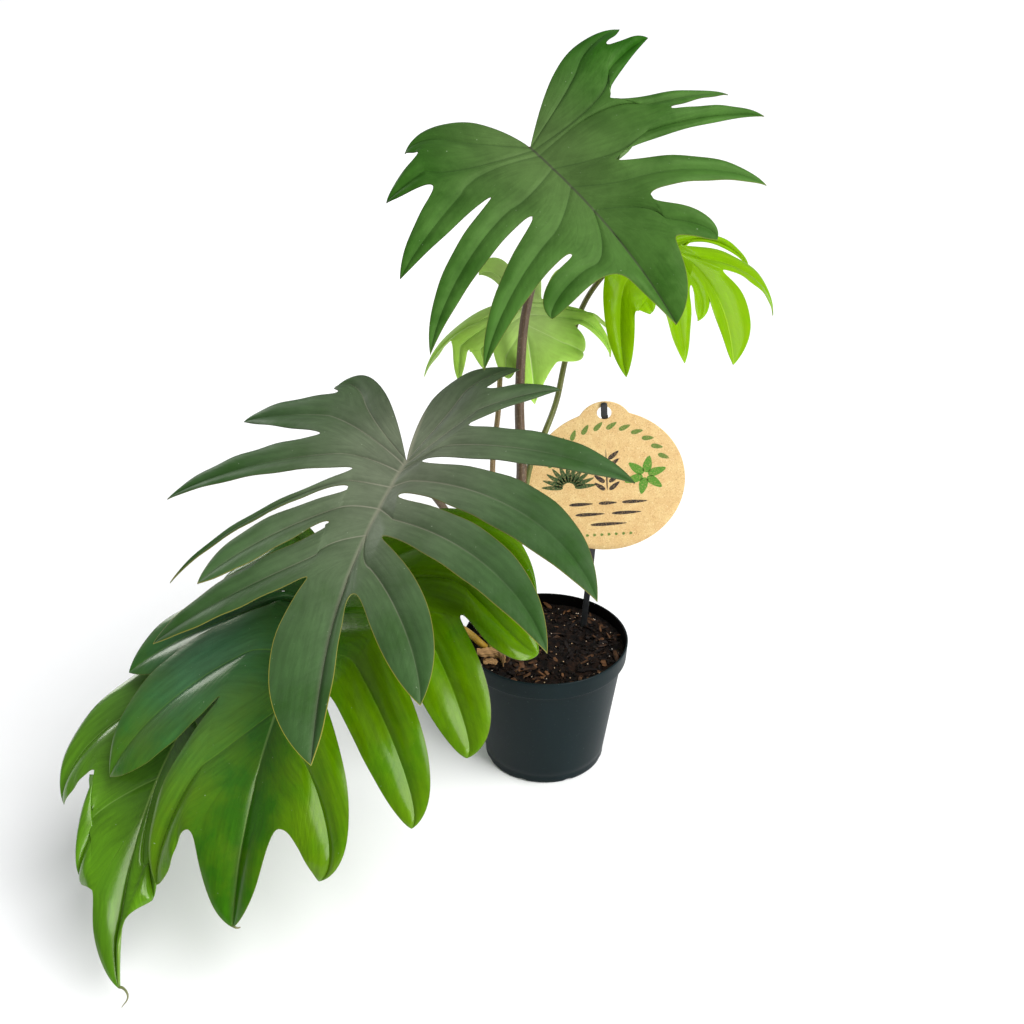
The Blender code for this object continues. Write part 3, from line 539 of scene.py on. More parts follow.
# a living blade: waxy skin over sunken veins, with a coloured margin, a paler lower side and some dust
def leafMaterial(name, look):
    material, tree = newMaterial(name + " cuticle")
    place = addNode(tree, "TexCoord", output="Object")
    veinGap, rimGap, ribGap, run, tone, paintedSheen, veinFade, ahead, under = (
        addNode(tree, "Attribute", attribute_name=key, output="Fac") for key in bladeReads)
    # younger lobes are fresher, and 30 mm clouds break that up
    cloud = addNode(tree, "TexNoise", place, 34.0, 4.0, 0.6)
    soft = addNode(tree, "MapRange", cloud, 0.35, 0.65, -0.40, 0.40)
    freshness = addNode(tree, "Math", tone, soft, operation="ADD", use_clamp=True)
    colour = addNode(tree, "Mix", freshness, look["base"], look["fresh"], data_type="RGBA")
    # painted sheen: a greyer tint in an oval about the stalk, or about sheenAt, stands in for a reflection
    # of the sky on the blade
    colour = addNode(tree, "Mix", paintedSheen, colour, look["paintedSheen"], data_type="RGBA")
    # streaks run with the veins: 25 mm long, 3 mm wide
    streak = streaks(tree, veinGap, run, (0.33, 0.04), 4.0, 0.6)
    shade = addNode(tree, "MapRange", streak, 0.3, 0.7, 1 - look["grain"], 1 + look["grain"])
    patch = addNode(tree, "MapRange", cloud, 0.35, 0.65, 1.15, 0.85)
    shade = addNode(tree, "Math", shade, patch, operation="MULTIPLY")
    colour = addNode(tree, "VectorMath", colour, shade, operation="SCALE")
    # side veins leave the main one at about 40 degrees, one each 9 mm, and show only as relief
    slant = addNode(tree, "Math", veinGap, -1.2, run, operation="MULTIPLY_ADD")
    slant = addNode(tree, "Math", cloud, 9.0, slant, operation="MULTIPLY_ADD")
    beat = addNode(tree, "Math", slant, 4.5, operation="PINGPONG")
    sideVein = addNode(tree, "MapRange", beat, 0.0, 2.5, 1.0, 0.0, interpolation_type="SMOOTHSTEP")
    # each tint is full within the first distance from its line and gone at the second, in mm
    for gap, near, far, share, tint in (
            (veinGap, 0.15, 0.95, look["veinShare"], look["vein"]),
            (ribGap, 0.30, look["midribWidth"], look["midribShare"], look["midrib"])):
        width = addNode(tree, "MapRange", gap, near, far, share, 0.0, interpolation_type="SMOOTHSTEP")
        amount = addNode(tree, "Math", width, veinFade, operation="MULTIPLY")
        colour = addNode(tree, "Mix", amount, colour, tint, data_type="RGBA")
    margin = addNode(tree, "Mix", ahead, look["rim"], look["farRim"], data_type="RGBA")
    edge = addNode(tree, "MapRange", rimGap, 0.10, 0.60, 0.70, 0.0, interpolation_type="SMOOTHSTEP")
    colour = addNode(tree, "Mix", edge, colour, margin, data_type="RGBA")
    dust = addNode(tree, "TexNoise", place, 520.0, 1.0)
    colour = flecked(tree, colour, "#a9b79a", dust, 0.78, 0.83, 0.40)
    lower = addNode(tree, "Math", under, 0.75, operation="MULTIPLY")
    colour = addNode(tree, "Mix", lower, colour, look["under"], data_type="RGBA")
    # skin cells 0.9 mm across, streaks and side veins as low relief
    cells = addNode(tree, "TexNoise", place, 1100.0, 2.0)
    relief = addNode(tree, "Math", cells, 0.35, streak, operation="MULTIPLY_ADD")
    relief = addNode(tree, "Math", sideVein, -0.25, relief, operation="MULTIPLY_ADD")
    bump = addNode(tree, "Bump", 0.34, 0.0005, Height=relief)
    gloss = addNode(tree, "MapRange", cloud, 0.0, 1.0, look["rough"] - 0.07, look["rough"] + 0.12)
    return finish(material, {
        "Base Color": colour, "Normal": bump, "Roughness": gloss, "IOR": 1.45,
        "Coat Weight": look["coat"], "Coat Roughness": 0.17,
        "Specular IOR Level": look["shine"], "Specular Tint": look["shineTint"]})


# Blade surface: height along the normal = flanks + wave - groove, then closed to its thickness
def buildLeaf(name, leaf):
    look, form = leafLooks[name], leafForm
    flat, faces, field = bladeSheet(leaf)
    points = bend(flat, field["droop"], leaf)
    field["ribGap"] = np.abs(flat[:, 1])
    field["ahead"] = np.clip(flat[:, 0] / leaf["length"], 0, 1)
    taper = 1 - form["veinTaper"] * smoothStep(0, form["taperRun"], field["run"])
    waves = np.sin(2 * np.pi * field["run"] / form["waveLength"] + flat[:, 0] / form["waveShift"])
    height = look["rise"] * field["rise"] + form["wave"] * field["wave"] * waves
    height -= form["groove"] * taper * bell(field["veinGap"], form["grooveWidth"])
    points = points + pointNormals(points, faces) * height[:, None] / 1000
    ridge = form["ridge"] * taper * bell(field["veinGap"], form["ridgeWidth"])
    ridge = ridge * smoothStep(0, form["ridgeFrom"], field["run"])
    midrib = form["midribRidge"] * bell(field["ribGap"], form["midribWidth"]) * (1 - field["ahead"])
    ridge = np.maximum(ridge, midrib * smoothStep(0, form["midribFrom"], flat[:, 0]))
    half = np.full(len(flat), form["thickness"] / 2)
    solid, faces = thicken(points, faces, half, half + ridge / 1000)
    # painted sheen: its share falls off as a bell with the distance from the stalk, or from sheenAt
    away = flat - look.get("sheenAt", (0, 0))
    field["paintedSheen"] = bell(np.hypot(form["sheenLength"] * away[:, 0], away[:, 1]), look["sheenReach"])
    field["veinFade"] = bell(np.hypot(form["veinLength"] * flat[:, 0], flat[:, 1]), look["veinReach"])
    values = {key: np.tile(field[key], 2) for key in bladeReads[:-1]}
    values["under"] = np.repeat([0.0, 1.0], len(flat))
    addPiece(name + "_blade", solid, faces, leafMaterial(name, look), [name], values, sharpAngle=60)


for leafName in leaves:
    buildLeaf(leafName, leaves[leafName])
print("leaves built")


# Stem and stalks
tubeForm = dict(
    sides=20, step=0.0025, domeRows=5, across=(0.7, -0.7, 0.0), rough=0.42,
    groove=0.10, grooveTurn=270, grooveWidth=0.5,  # share of the radius, degrees round and radians wide
    rib=0.015, ribs=5, ribWind=9)  # share of the radius, count, and radians of winding over the length
planted = dict(low=0.0670, high=0.0945)  # between these heights a planted piece stands upright


# the foot of a planted piece: (x, y) at both planted heights
def uprightFoot(x, y):
    return [(x, y, planted["low"]), (x, y, planted["high"])]


stalks = {
    "stalk_top": dict(leaf="leaf_top", radii=(0.0039, 0.0025), route=[
        (-0.0244, -0.0051, 0.1689), (-0.0222, -0.0058, 0.1900), (-0.0180, 0.0005, 0.2320),
        (-0.0195, 0.0120, 0.2790), (-0.0170, 0.0220, 0.3290), (-0.0100, 0.0300, 0.3700),
        (-0.0090, 0.0360, 0.4150)],
        low="#4e3c2c", high="#6c5642", slot="stalk_purple"),
    "stalk_pale": dict(leaf="leaf_pale", radii=(0.0021, 0.0018), route=[
        (-0.0314, 0.0014, 0.1460), (-0.0345, 0.0060, 0.1800), (-0.0380, 0.0140, 0.2290),
        (-0.0340, 0.0310, 0.2660), (-0.0310, 0.0490, 0.3040), (-0.0220, 0.0600, 0.3250)],
        low="#8a6a50", high="#94825a", slot="stalk_brown"),
    "stalk_young": dict(leaf="leaf_young", radii=(0.0024, 0.0018), route=[
        (-0.0211, 0.0012, 0.1420), (-0.0180, 0.0070, 0.1900), (-0.0125, 0.0140, 0.2300),
        (-0.0015, 0.0180, 0.2570), (0.0065, 0.0350, 0.2730), (0.0140, 0.0560, 0.2990),
        (0.0280, 0.0740, 0.3330), (0.0560, 0.0900, 0.3620)],
        low="#58682c", high="#665c34", slot="stalk_olive"),
    "stalk_middle": dict(leaf="leaf_middle", radii=(0.0030, 0.0024), route=[
        (-0.0341, -0.0047, 0.1280), (-0.0430, -0.0140, 0.1600), (-0.0640, -0.0340, 0.2150),
        (-0.0830, -0.0530, 0.2560)],
        low="#4d3a26", high="#5c4a34", slot="stalk_purple"),
    "stalk_lower": dict(leaf="leaf_lower", radii=(0.0027, 0.0023), route=uprightFoot(-0.0400, -0.0010) + [
        (-0.0405, -0.0015, 0.1000), (-0.0560, -0.0160, 0.1350), (-0.0900, -0.0530, 0.1680),
        (-0.1240, -0.0890, 0.1890)],
        low="#8a862e", high="#6f7a34", slot="stalk_yellow"),
    "stalk_lowest": dict(leaf="leaf_lowest", radii=(0.0027, 0.0022), route=uprightFoot(-0.0455, -0.0090) + [
        (-0.0465, -0.0085, 0.0990), (-0.0700, -0.0180, 0.1220), (-0.1200, -0.0520, 0.1330),
        (-0.1750, -0.0850, 0.1430)],
        low="#8f6a1e", high="#6f7a34", slot="stalk_yellow"),
}
stem = dict(
    radii=(0.0048, 0.0040), sides=28, step=0.0008, low="#5a4a2c", high="#5d6636", rough=0.6,
    ringGap=0.021, ringStart=0.004, ringHeight=0.0005, ringWidth=0.0008,
    route=uprightFoot(-0.0300, 0.0060) + [
        (-0.0300, 0.0050, 0.1000), (-0.0275, -0.0015, 0.1350), (-0.0245, -0.0050, 0.1680)])


# Catmull-Rom curve through the route, 0.5 (2b + (c-a)t + (2a-5b+4c-d)t^2 + (3b-a-3c+d)t^3), step apart
def smoothRoute(route, step):
    route = np.asarray(route, float)
    ends = np.vstack([2 * route[0] - route[1], route, 2 * route[-1] - route[-2]])
    pieces = []
    for a, b, c, d in zip(ends[:-3], ends[1:-2], ends[2:-1], ends[3:]):
        t = np.linspace(0, 1, max(2, int(np.ceil(np.linalg.norm(c - b) / step))), endpoint=False)[:, None]
        pieces.append(0.5 * (2 * b + (c - a) * t + (2 * a - 5 * b + 4 * c - d) * t ** 2
                             + (3 * b - a - 3 * c + d) * t ** 3))
    return np.vstack(pieces + [route[-1:]])


# unit vectors of a path: its tangent, the side that keeps to across, and their cross product
def pathFrames(path, across):
    tangent = unit(np.gradient(path, axis=0))
    side = unit(across - (tangent @ across)[:, None] * tangent)
    return tangent, side, np.cross(tangent, side)


# Tube: point = path + radius(row, angle) x (cos angle x side + sin angle x lift), with round ends
def tubeSurface(path, radius, sides=tubeForm["sides"]):
    tangent, side, lift = pathFrames(path, unit(tubeForm["across"]))
    angle = fullTurn(sides)
    radius = np.broadcast_to(radius, (len(path), sides))
    around = np.cos(angle)[:, None] * side[:, None] + np.sin(angle)[:, None] * lift[:, None]
    turn = np.linspace(0, np.pi / 2, tubeForm["domeRows"] + 1)[1:, None, None]
    domes = []
    for row, sign in ((0, -1), (-1, 1)):
        reach = np.sin(turn) * radius[row].mean() * sign * tangent[row]
        domes.append(path[row] + reach + np.cos(turn) * radius[row][:, None] * around[row])
    grid = np.concatenate([domes[0][::-1], path[:, None] + radius[..., None] * around, domes[1]])
    run = runAlong(path)
    run = np.concatenate([np.zeros(len(turn)), run, np.full(len(turn), run[-1])])
    points, faces, first = closedGrids(grid[None])
    length = np.repeat(run, sides)[first]
    values = dict(run=length * 1000, share=length / run[-1], turn=np.tile(np.cos(angle), len(grid))[first])
    return points, faces, values


# a stalk's living skin: its colour turns along its length, with fine lines that run with it and pale flecks
def stalkMaterial(name, low, high, rough):
    material, tree = newMaterial(name)
    place = addNode(tree, "TexCoord", output="Object")
    run, share, turn = (
        addNode(tree, "Attribute", attribute_name=key, output="Fac") for key in ("run", "share", "turn"))
    lines = streaks(tree, turn, run, (7.0, 0.08), 4.0)
    shade = addNode(tree, "MapRange", lines, 0.3, 0.7, 0.7, 1.35)
    colour = addNode(tree, "Mix", share, low, high, data_type="RGBA")
    colour = addNode(tree, "VectorMath", colour, shade, operation="SCALE")
    speckle = addNode(tree, "TexNoise", place, 900.0, 1.0)
    colour = flecked(tree, colour, "#a79a74", speckle, 0.62, 0.70, 0.35)
    bump = addNode(tree, "Bump", 0.4, 0.0003, Height=lines)
    return finish(material, {"Base Color": colour, "Normal": bump, "Roughness": rough, "IOR": 1.45})


# Stalk radius: even taper, less a groove along the upper side, and low ribs that wind about it
def buildStalk(name, stalk):
    leaf = leaves[stalk["leaf"]]
    seat = leaf["origin"] - leafFrame(leaf["pose"])[2] * (stalk["radii"][1] + leafForm["thickness"] / 2)
    path = smoothRoute(stalk["route"] + [tuple(seat)], tubeForm["step"])
    share = np.linspace(0, 1, len(path))[:, None]
    angle = fullTurn(tubeForm["sides"])[None]
    groove = bell(angle - np.radians(tubeForm["grooveTurn"]), tubeForm["grooveWidth"])
    groove = tubeForm["groove"] * groove * smoothStep(0.1, 0.3, share)
    ribs = tubeForm["rib"] * np.sin(tubeForm["ribs"] * angle + tubeForm["ribWind"] * share)
    radius = between(stalk["radii"], share) * (1 - groove) * (1 + ribs)
    points, faces, values = tubeSurface(path, radius)
    material = stalkMaterial(name + " skin", stalk["low"], stalk["high"], tubeForm["rough"])
    addPiece(name + "_skin", points, faces, material, [name], values)


# Stem radius: taper with a leaf scar ring each ringGap, a bell as wide as ringWidth
def buildStem():
    path = smoothRoute(stem["route"], stem["step"])
    run = runAlong(path)
    phase = (run + stem["ringStart"]) % stem["ringGap"] - stem["ringGap"] / 2
    radius = between(stem["radii"], run / run[-1]) + stem["ringHeight"] * bell(phase, stem["ringWidth"])
    points, faces, values = tubeSurface(path, radius[:, None], stem["sides"])
    material = stalkMaterial("stem bark", stem["low"], stem["high"], stem["rough"])
    addPiece("stem_bark", points, faces, material, ["stem"], values)


# dried tips of three lobes: flat place of the tip, its droop, and the route on from there, in mm
tendrilForm = dict(sides=10, step=0.0006, low="#4c5a1c", high="#8f8a6a", rough=0.6)
tendrils = {
    "leaf_lowest_tendril": dict(leaf="leaf_lowest", tip=(214, 0), droop=4, radii=(0.9, 0.25), route=[
        (1.6, 0.8, -1.8), (3.0, 1.2, -5.2), (3.4, 1.2, -9.0), (2.2, 1.0, -12.6), (0.2, 0.8, -15.4),
        (-1.2, 0.6, -17.6)]),
    "leaf_lower_tendril": dict(leaf="leaf_lower", tip=(212, 0), droop=4, radii=(0.9, 0.4), route=[
        (0.8, 0.3, -1.6), (2.2, 0.8, -2.6), (3.6, 0.6, -2.0)]),
    "leaf_lower_curl": dict(leaf="leaf_lower", tip=(-20.5, 128), droop=12, radii=(0.8, 0.3), route=[
        (1.8, 0.0, -1.6), (2.6, 0.0, -4.4), (1.2, 0.0, -7.4), (-1.4, 0.0, -8.8)]),
}


# Tendril: a tapering tube from a lobe's tip through the route's points
def buildTendril(name, tendril):
    tip = bend(np.array([tendril["tip"]], float), np.array([tendril["droop"]]), leaves[tendril["leaf"]])[0]
    form = tendrilForm
    path = smoothRoute(np.vstack([tip, tip + np.array(tendril["route"]) / 1000]), form["step"])
    radius = between(tendril["radii"], np.linspace(0, 1, len(path))[:, None]) / 1000
    points, faces, values = tubeSurface(path, radius, form["sides"])
    material = stalkMaterial(name + " dried tip", form["low"], form["high"], form["rough"])
    addPiece(name, points, faces, material, (), values)


buildStem()
for tendrilName in tendrils:
    buildTendril(tendrilName, tendrils[tendrilName])
for stalkName in stalks:
    buildStalk(stalkName, stalks[stalkName])
print("stem and stalks built")


# Dry sheaths
sheathForm = dict(
    thickness=0.0005, step=0.0006, columns=13, ends=0.25, ragged=(0.12, 0.07), ripple=0.0002, fibreRun=20)
sheaths = {
    "dry_sheath_long": dict(width=0.0072, across=(0.2, 0.5, 0.8), hollow=0.0012, route=[
        (-0.0500, -0.0170, 0.0980), (-0.0430, -0.0160, 0.0968), (-0.0360, -0.0155, 0.0963),
        (-0.0315, -0.0200, 0.0958), (-0.0295, -0.0290, 0.0956)]),
    "dry_sheath_short": dict(width=0.0056, across=(0.3, 1.0, 0.2), hollow=0.0008, route=[
        (-0.0450, -0.0240, 0.0934), (-0.0400, -0.0230, 0.0942), (-0.0350, -0.0250, 0.0937)]),
    "dry_sheath_stem": dict(width=0.0044, across=(0.7, 0.7, 0.0), hollow=0.0008, route=[
        (-0.0227, -0.0059, 0.1440), (-0.0190, -0.0100, 0.1570), (-0.0150, -0.0140, 0.1680)]),
}


# dead sheath tissue: thin, papery and lined along its fibres
def sheathMaterial():
    material, tree = newMaterial("dry sheath tissue")
    across, run = (
        addNode(tree, "Attribute", attribute_name=key, output="Fac") for key in ("across", "run"))
    fibre = streaks(tree, across, run, (6.0, 0.15), 5.0)
    colour = flecked(tree, "#452c18", "#a88254", fibre, 0.32, 0.62, 1.0)
    bump = addNode(tree, "Bump", 0.7, 0.0005, Height=fibre)
    return finish(material, {"Base Color": colour, "Normal": bump, "Roughness": 0.8, "IOR": 1.4})


# Sheath: point = path + v x width x side + hollow x (1 - v^2) x lift. The width falls to its share ends
# at both ends by a sine, and two sine waves make its edges ragged.
def buildSheath(name, sheath, material):
    form = sheathForm
    path = smoothRoute(sheath["route"], form["step"])
    side, lift = pathFrames(path, unit(sheath["across"]))[1:]
    v = np.linspace(-1, 1, form["columns"])[None, :]
    share = np.linspace(0, 1, len(path))[:, None]
    width = sheath["width"] / 2 * between((form["ends"], 1), np.sin(np.pi * (0.12 + 0.76 * share)) ** 0.7)
    coarse, fine = form["ragged"]
    width = width * (1 + coarse * np.sin(23 * share + 2 * v) + fine * np.sin(61 * share - v))
    height = sheath["hollow"] * (1 - v ** 2) + form["ripple"] * np.sin(31 * share + 4 * v)
    sheet = path[:, None] + (v * width)[..., None] * side[:, None] + height[..., None] * lift[:, None]
    half = np.full(height.size, form["thickness"] / 2)
    points, faces = thicken(sheet.reshape(-1, 3), gridFaces(*height.shape), half, half)
    run = np.repeat(share * form["fibreRun"], v.size)
    values = dict(run=np.tile(run, 2), across=np.tile(v[0], 2 * len(path)))
    addPiece(name + "_paper", points, faces, material, [name], values)


drySkin = sheathMaterial()
for sheathName in sheaths:
    buildSheath(sheathName, sheaths[sheathName], drySkin)
print("sheaths built")


# Pot
pot = dict(
    height=0.100, rimRadius=0.060, bandHeight=0.0135, bandTaper=0.0008, bandRound=0.0006, wallTop=0.0562,
    base=0.0440, wall=0.0014, floor=0.0025, footStep=(0.0009, 0.0006), footStepHeight=(0.0075, 0.0070),
    footRound=0.0020, footIn=0.0016, notches=8, notchHeight=0.0012, notchFade=0.004, notchHalfAngle=0.10,
    notchDepth=0.0045,  # the notches cross the foot's outer ring alone
    neck=(0.0002, 0.0008),  # steps down from the band's lower edge to the wall
    sideBlend=0.0005,  # the inner side's colour fades in over this
    steps=192, run=0.004)


# Turned surface: point = (radius cos u, radius sin u, height), from a profile of (radius, height) rows
def turned(profile, steps, lift):
    angle = fullTurn(steps)
    radius, height = profile[:, 0][:, None], profile[:, 1][:, None] + 0 * angle
    height = height + lift(radius, height, angle)
    return closedGrids(np.stack([radius * np.cos(angle), radius * np.sin(angle), height], -1)[None])[:2]


# profile corners joined by straight runs cut into equal pieces, so that long runs shade evenly
def fillProfile(corners, step):
    corners, pieces = np.array(corners), []
    for start, end in zip(corners[:-1], corners[1:]):
        count = max(1, int(np.ceil(np.linalg.norm(end - start) / step)))
        pieces.append(between((start, end), np.linspace(0, 1, count, endpoint=False)[:, None]))
    return np.vstack(pieces + [corners[-1:]])


# rounded corner: centre + radius x (cos, sin)
def roundCorner(x, z, radius, startAngle, endAngle, count=5):
    turn = np.radians(np.linspace(startAngle, endAngle, count))
    return [(x + radius * np.cos(t), z + radius * np.sin(t)) for t in turn]


# moulded polypropylene: nearly black, satin, with faint flow marks and dust; near black inside, painted
# shade in the pot's hollow with some soil stain
def potMaterial():
    material, tree = newMaterial("moulded polypropylene")
    place = addNode(tree, "TexCoord", output="Object")
    flow = addNode(tree, "TexNoise", addNode(tree, "Mapping", place, Scale=(60.0, 60.0, 9.0)), 1.0, 3.0)
    colour = addNode(tree, "Mix", flow, "#081517", "#102023", data_type="RGBA")
    dust = addNode(tree, "TexNoise", place, 700.0, 2.0)
    colour = flecked(tree, colour, "#4c5658", dust, 0.70, 0.76, 0.35)
    shadeAndStain = addNode(tree, "Attribute", attribute_name="shadeAndStain", output="Fac")
    # painted shade: the inner side turns near black, the shade in the pot's hollow along with some soil
    # stain
    colour = addNode(tree, "Mix", shadeAndStain, colour, "#040303", data_type="RGBA")
    rough = addNode(tree, "MapRange", flow, 0.0, 1.0, 0.34, 0.52)
    grain = addNode(tree, "TexNoise", place, 1500.0, 1.0)  # spark-eroded mould
    bump = addNode(tree, "Bump", 0.12, 0.0002, Height=grain)
    return finish(material, {
        "Base Color": colour, "Normal": bump, "Roughness": rough, "IOR": 1.49, "Specular IOR Level": 0.12})


# Pot wall in one profile: inner floor, inner wall, rounded rim, band, outer wall, foot and base.
# The foot rises by notchHeight x (1 + cos) / 2 near each notch.
def buildPot():
    wall, rim, wallTop, base = pot["wall"], pot["rimRadius"], pot["wallTop"], pot["base"]
    bandLow, band, lip = pot["height"] - pot["bandHeight"], rim - pot["bandTaper"], wall / 2
    curve, neck, blend = pot["bandRound"], pot["neck"], pot["sideBlend"]
    corners = [(0.0, pot["floor"]), (base - wall, pot["floor"])]
    corners += [(wallTop - wall, bandLow - wall), (band - wall, bandLow)]
    corners += roundCorner(rim - lip, pot["height"] - lip, lip, 180, 0, 7)
    corners += roundCorner(band - curve, bandLow + curve, curve, 0, -90)
    corners += [(wallTop + curve / 2, bandLow - neck[0]), (wallTop, bandLow - neck[1])]
    corners += [(base + out, height) for out, height in zip(pot["footStep"], pot["footStepHeight"])]
    corners += roundCorner(base - pot["footIn"], pot["footRound"], pot["footRound"], -10, -90)
    corners += [(0.0, 0.0)]

    def footRise(radius, height, angle):
        spacing = 2 * np.pi / pot["notches"]
        away = (angle + spacing) % spacing - spacing / 2
        shape = 0.5 + 0.5 * np.cos(np.pi * np.clip(away / pot["notchHalfAngle"], -1, 1))
        fade = np.clip(1 - height / pot["notchFade"], 0, 1) * (radius > base - pot["notchDepth"])
        return pot["notchHeight"] * shape * fade

    points, faces = turned(fillProfile(corners, pot["run"]), pot["steps"], footRise)
    # painted shade mask: 1 on the inner side above the floor, fading in over sideBlend
    middle = np.interp(points[:, 2], (0, bandLow - blend, bandLow + blend, pot["height"]),
                       np.array((base, wallTop, band, rim)) - lip)
    shadeAndStain = smoothStep(0, blend, middle - np.hypot(points[:, 0], points[:, 1]))
    shadeAndStain = shadeAndStain * (points[:, 2] > 0.9 * pot["floor"])
    shadeAndStain = dict(shadeAndStain=shadeAndStain)
    addPiece("pot_wall", points, faces, potMaterial(), ["pot"], shadeAndStain, sharpAngle=40)


buildPot()
print("pot built")


# Soil
soil = dict(
    edgeHeight=0.0915, topHeight=0.0930, gap=0.0004, steps=300, rings=90, crowd=0.8, shoulder=0.0006,
    roughness=0.0011, crumb=0.006,
    calmEdge=0.003, edgeShare=0.25,  # near the pot the bumps fall to this share of their height
    tone=(0.25, 0.75), toneSize=0.004, seed=7)
shards = {
    "bark": dict(count=200, length=(0.0030, 0.0125), width=(0.0012, 0.0042), height=(0.0006, 0.0014),
                 rise=0.0009, dark="#120b08", light="#69482e"),
    "crumbs": dict(count=1000, length=(0.0008, 0.0026), width=(0.0007, 0.0020), height=(0.0006, 0.0016),
                   rise=0.0005, dark="#070403", light="#22150c"),
    "specks": dict(count=80, length=(0.0006, 0.0012), width=(0.0005, 0.0010), height=(0.0004, 0.0008),
                   rise=0.0009, dark="#b99a78", light="#efe6d8"),
}
shardForm = dict(
    rows=5, columns=7, boxiness=0.8, dent=0.28, tilt=0.3, rim=0.003, sink=0.0012, lift=(0.2, 1),
    tone=(-0.40, 0.90))
shadow = dict(place=(0.022, -0.004), reach=0.022, depth=0.7)  # painted shadow: soil darker behind the leaves, where their shade falls


# Height noise: sum over octaves of value noise on a grid, smoothly interpolated, each 0.6 as high
def heightNoise(x, y, cell, octaves, random):
    total, weight = np.zeros_like(x), 1.0
    for _ in range(octaves):
        table = random.uniform(-1, 1, (64, 64))
        u, v = x / cell + 17.3, y / cell + 9.1
        i, j = np.floor(u).astype(int), np.floor(v).astype(int)
        s, t = smoothStep(0, 1, u - i), smoothStep(0, 1, v - j)
        corner = [table[(i + di) % 64, (j + dj) % 64] for di in (0, 1) for dj in (0, 1)]
        total += weight * between((between(corner[:2], t), between(corner[2:], t)), s)
        cell, weight = cell / 2, weight * 0.6
    return total


# moist potting mix: peat and bark fines, nearly black with brown fibres
def soilMaterial(name, dark, light, scale, rough):
    material, tree = newMaterial(name)
    place = addNode(tree, "TexCoord", output="Object")
    grain = addNode(tree, "TexNoise", place, scale, 6.0, 0.65)
    amount = addNode(tree, "MapRange", grain, 0.35, 0.7, -0.3, 0.45)
    tone = addNode(tree, "Attribute", attribute_name="tone", output="Fac")
    amount = addNode(tree, "Math", amount, tone, operation="ADD", use_clamp=True)
    colour = addNode(tree, "Mix", amount, dark, light, data_type="RGBA")
    bump = addNode(tree, "Bump", 0.8, 0.0006, Height=grain)
    return finish(material, {
        "Base Color": colour, "Normal": bump, "Roughness": rough, "IOR": 1.4, "Specular IOR Level": 0.2})


# Soil body: top height = edge to centre rise + noise, wall and floor just inside the pot
def buildSoil():
    random = np.random.default_rng(soil["seed"])
    gap, wall, heights = soil["gap"], pot["wall"], (soil["topHeight"], soil["edgeHeight"])
    bandLow = pot["height"] - pot["bandHeight"]
    inner = pot["rimRadius"] - wall - pot["bandTaper"] * (pot["height"] - heights[1]) / pot["bandHeight"]
    edge = inner - gap
    ring = edge * np.linspace(0, 1, soil["rings"]) ** soil["crowd"]
    low = pot["floor"] + gap
    profile = np.vstack([
        np.column_stack([ring, between(heights, smoothStep(0.5, 1, ring / edge))]),
        (edge - soil["shoulder"], bandLow + gap), (pot["wallTop"] - wall - gap, bandLow - wall + gap),
        (pot["base"] - wall - gap, low), (0.0, low)])

    def crumble(radius, height, angle):
        bumps = heightNoise(radius * np.cos(angle), radius * np.sin(angle), soil["crumb"], 4, random)
        fade = np.clip((edge - radius) / soil["calmEdge"] + soil["edgeShare"], 0, 1) * (radius > 1e-6)
        return soil["roughness"] * bumps * fade * (height > heights[1] - 0.0001)

    points, faces = turned(profile, soil["steps"], crumble)
    clouds = heightNoise(points[:, 0], points[:, 1], soil["toneSize"], 2, random)
    tone = dict(tone=between(soil["tone"], clouds))
    material = soilMaterial("moist potting mix", "#050302", "#24150b", 500.0, 0.85)
    addPiece("soil_bed", points, faces, material, ["soil"], tone, sharpAngle=180)
    return edge


# Shards: small spheres, stretched to length, width and height, dented, tilted, turned and laid
def buildShards(kind, form, edge, random):
    count, rows, columns = form["count"], shardForm["rows"], shardForm["columns"]
    lat, lon = np.linspace(-np.pi / 2, np.pi / 2, rows)[:, None], fullTurn(columns)[None]
    ball = np.stack([np.cos(lat) * np.cos(lon), np.cos(lat) * np.sin(lon), np.sin(lat) + 0 * lon], -1)
    ball = np.sign(ball) * np.abs(ball) ** shardForm["boxiness"]  # a little boxy, as broken bark is
    dents = 1 + shardForm["dent"] * random.uniform(-1, 1, (count, rows, columns, 1))
    dents[:, [0, -1]] = 1
    size = np.stack([random.uniform(*form[key], count) for key in ("length", "width", "height")], -1) / 2
    yaw, tilt = random.uniform(0, 2 * np.pi, count), random.normal(0, shardForm["tilt"], count)
    x, y, z = np.moveaxis(ball * dents * size[:, None, None], -1, 0)
    x, z = rotate(x, z, -tilt[:, None, None])
    x, y = rotate(x, y, yaw[:, None, None])
    radius = (edge - shardForm["rim"]) * np.sqrt(random.uniform(0, 1, count))
    place = random.uniform(0, 2 * np.pi, count)
    height = soil["topHeight"] - shardForm["sink"] * smoothStep(0.5, 1, radius / edge)
    height = height + form["rise"] * random.uniform(*shardForm["lift"], count)
    centre = np.stack([radius * np.cos(place), radius * np.sin(place), height], -1)
    points, faces, first = closedGrids(np.stack([x, y, z], -1) + centre[:, None, None])
    # painted shadow: chips near the shadow's place are darkened by up to its depth
    away = np.hypot(*(centre[:, :2] - shadow["place"]).T)
    tone = random.uniform(*shardForm["tone"], count) - shadow["depth"] * bell(away, shadow["reach"])
    material = soilMaterial("soil " + kind, form["dark"], form["light"], 260.0, 0.5)
    tone = dict(tone=np.repeat(tone, rows * columns)[first])
    addPiece("soil_" + kind, points, faces, material, (), tone, sharpAngle=35)


soilEdge = buildSoil()
shardRandom = np.random.default_rng(soil["seed"] + 1)
for shardKind in shards:
    buildShards(shardKind, shards[shardKind], soilEdge, shardRandom)
print("soil built")


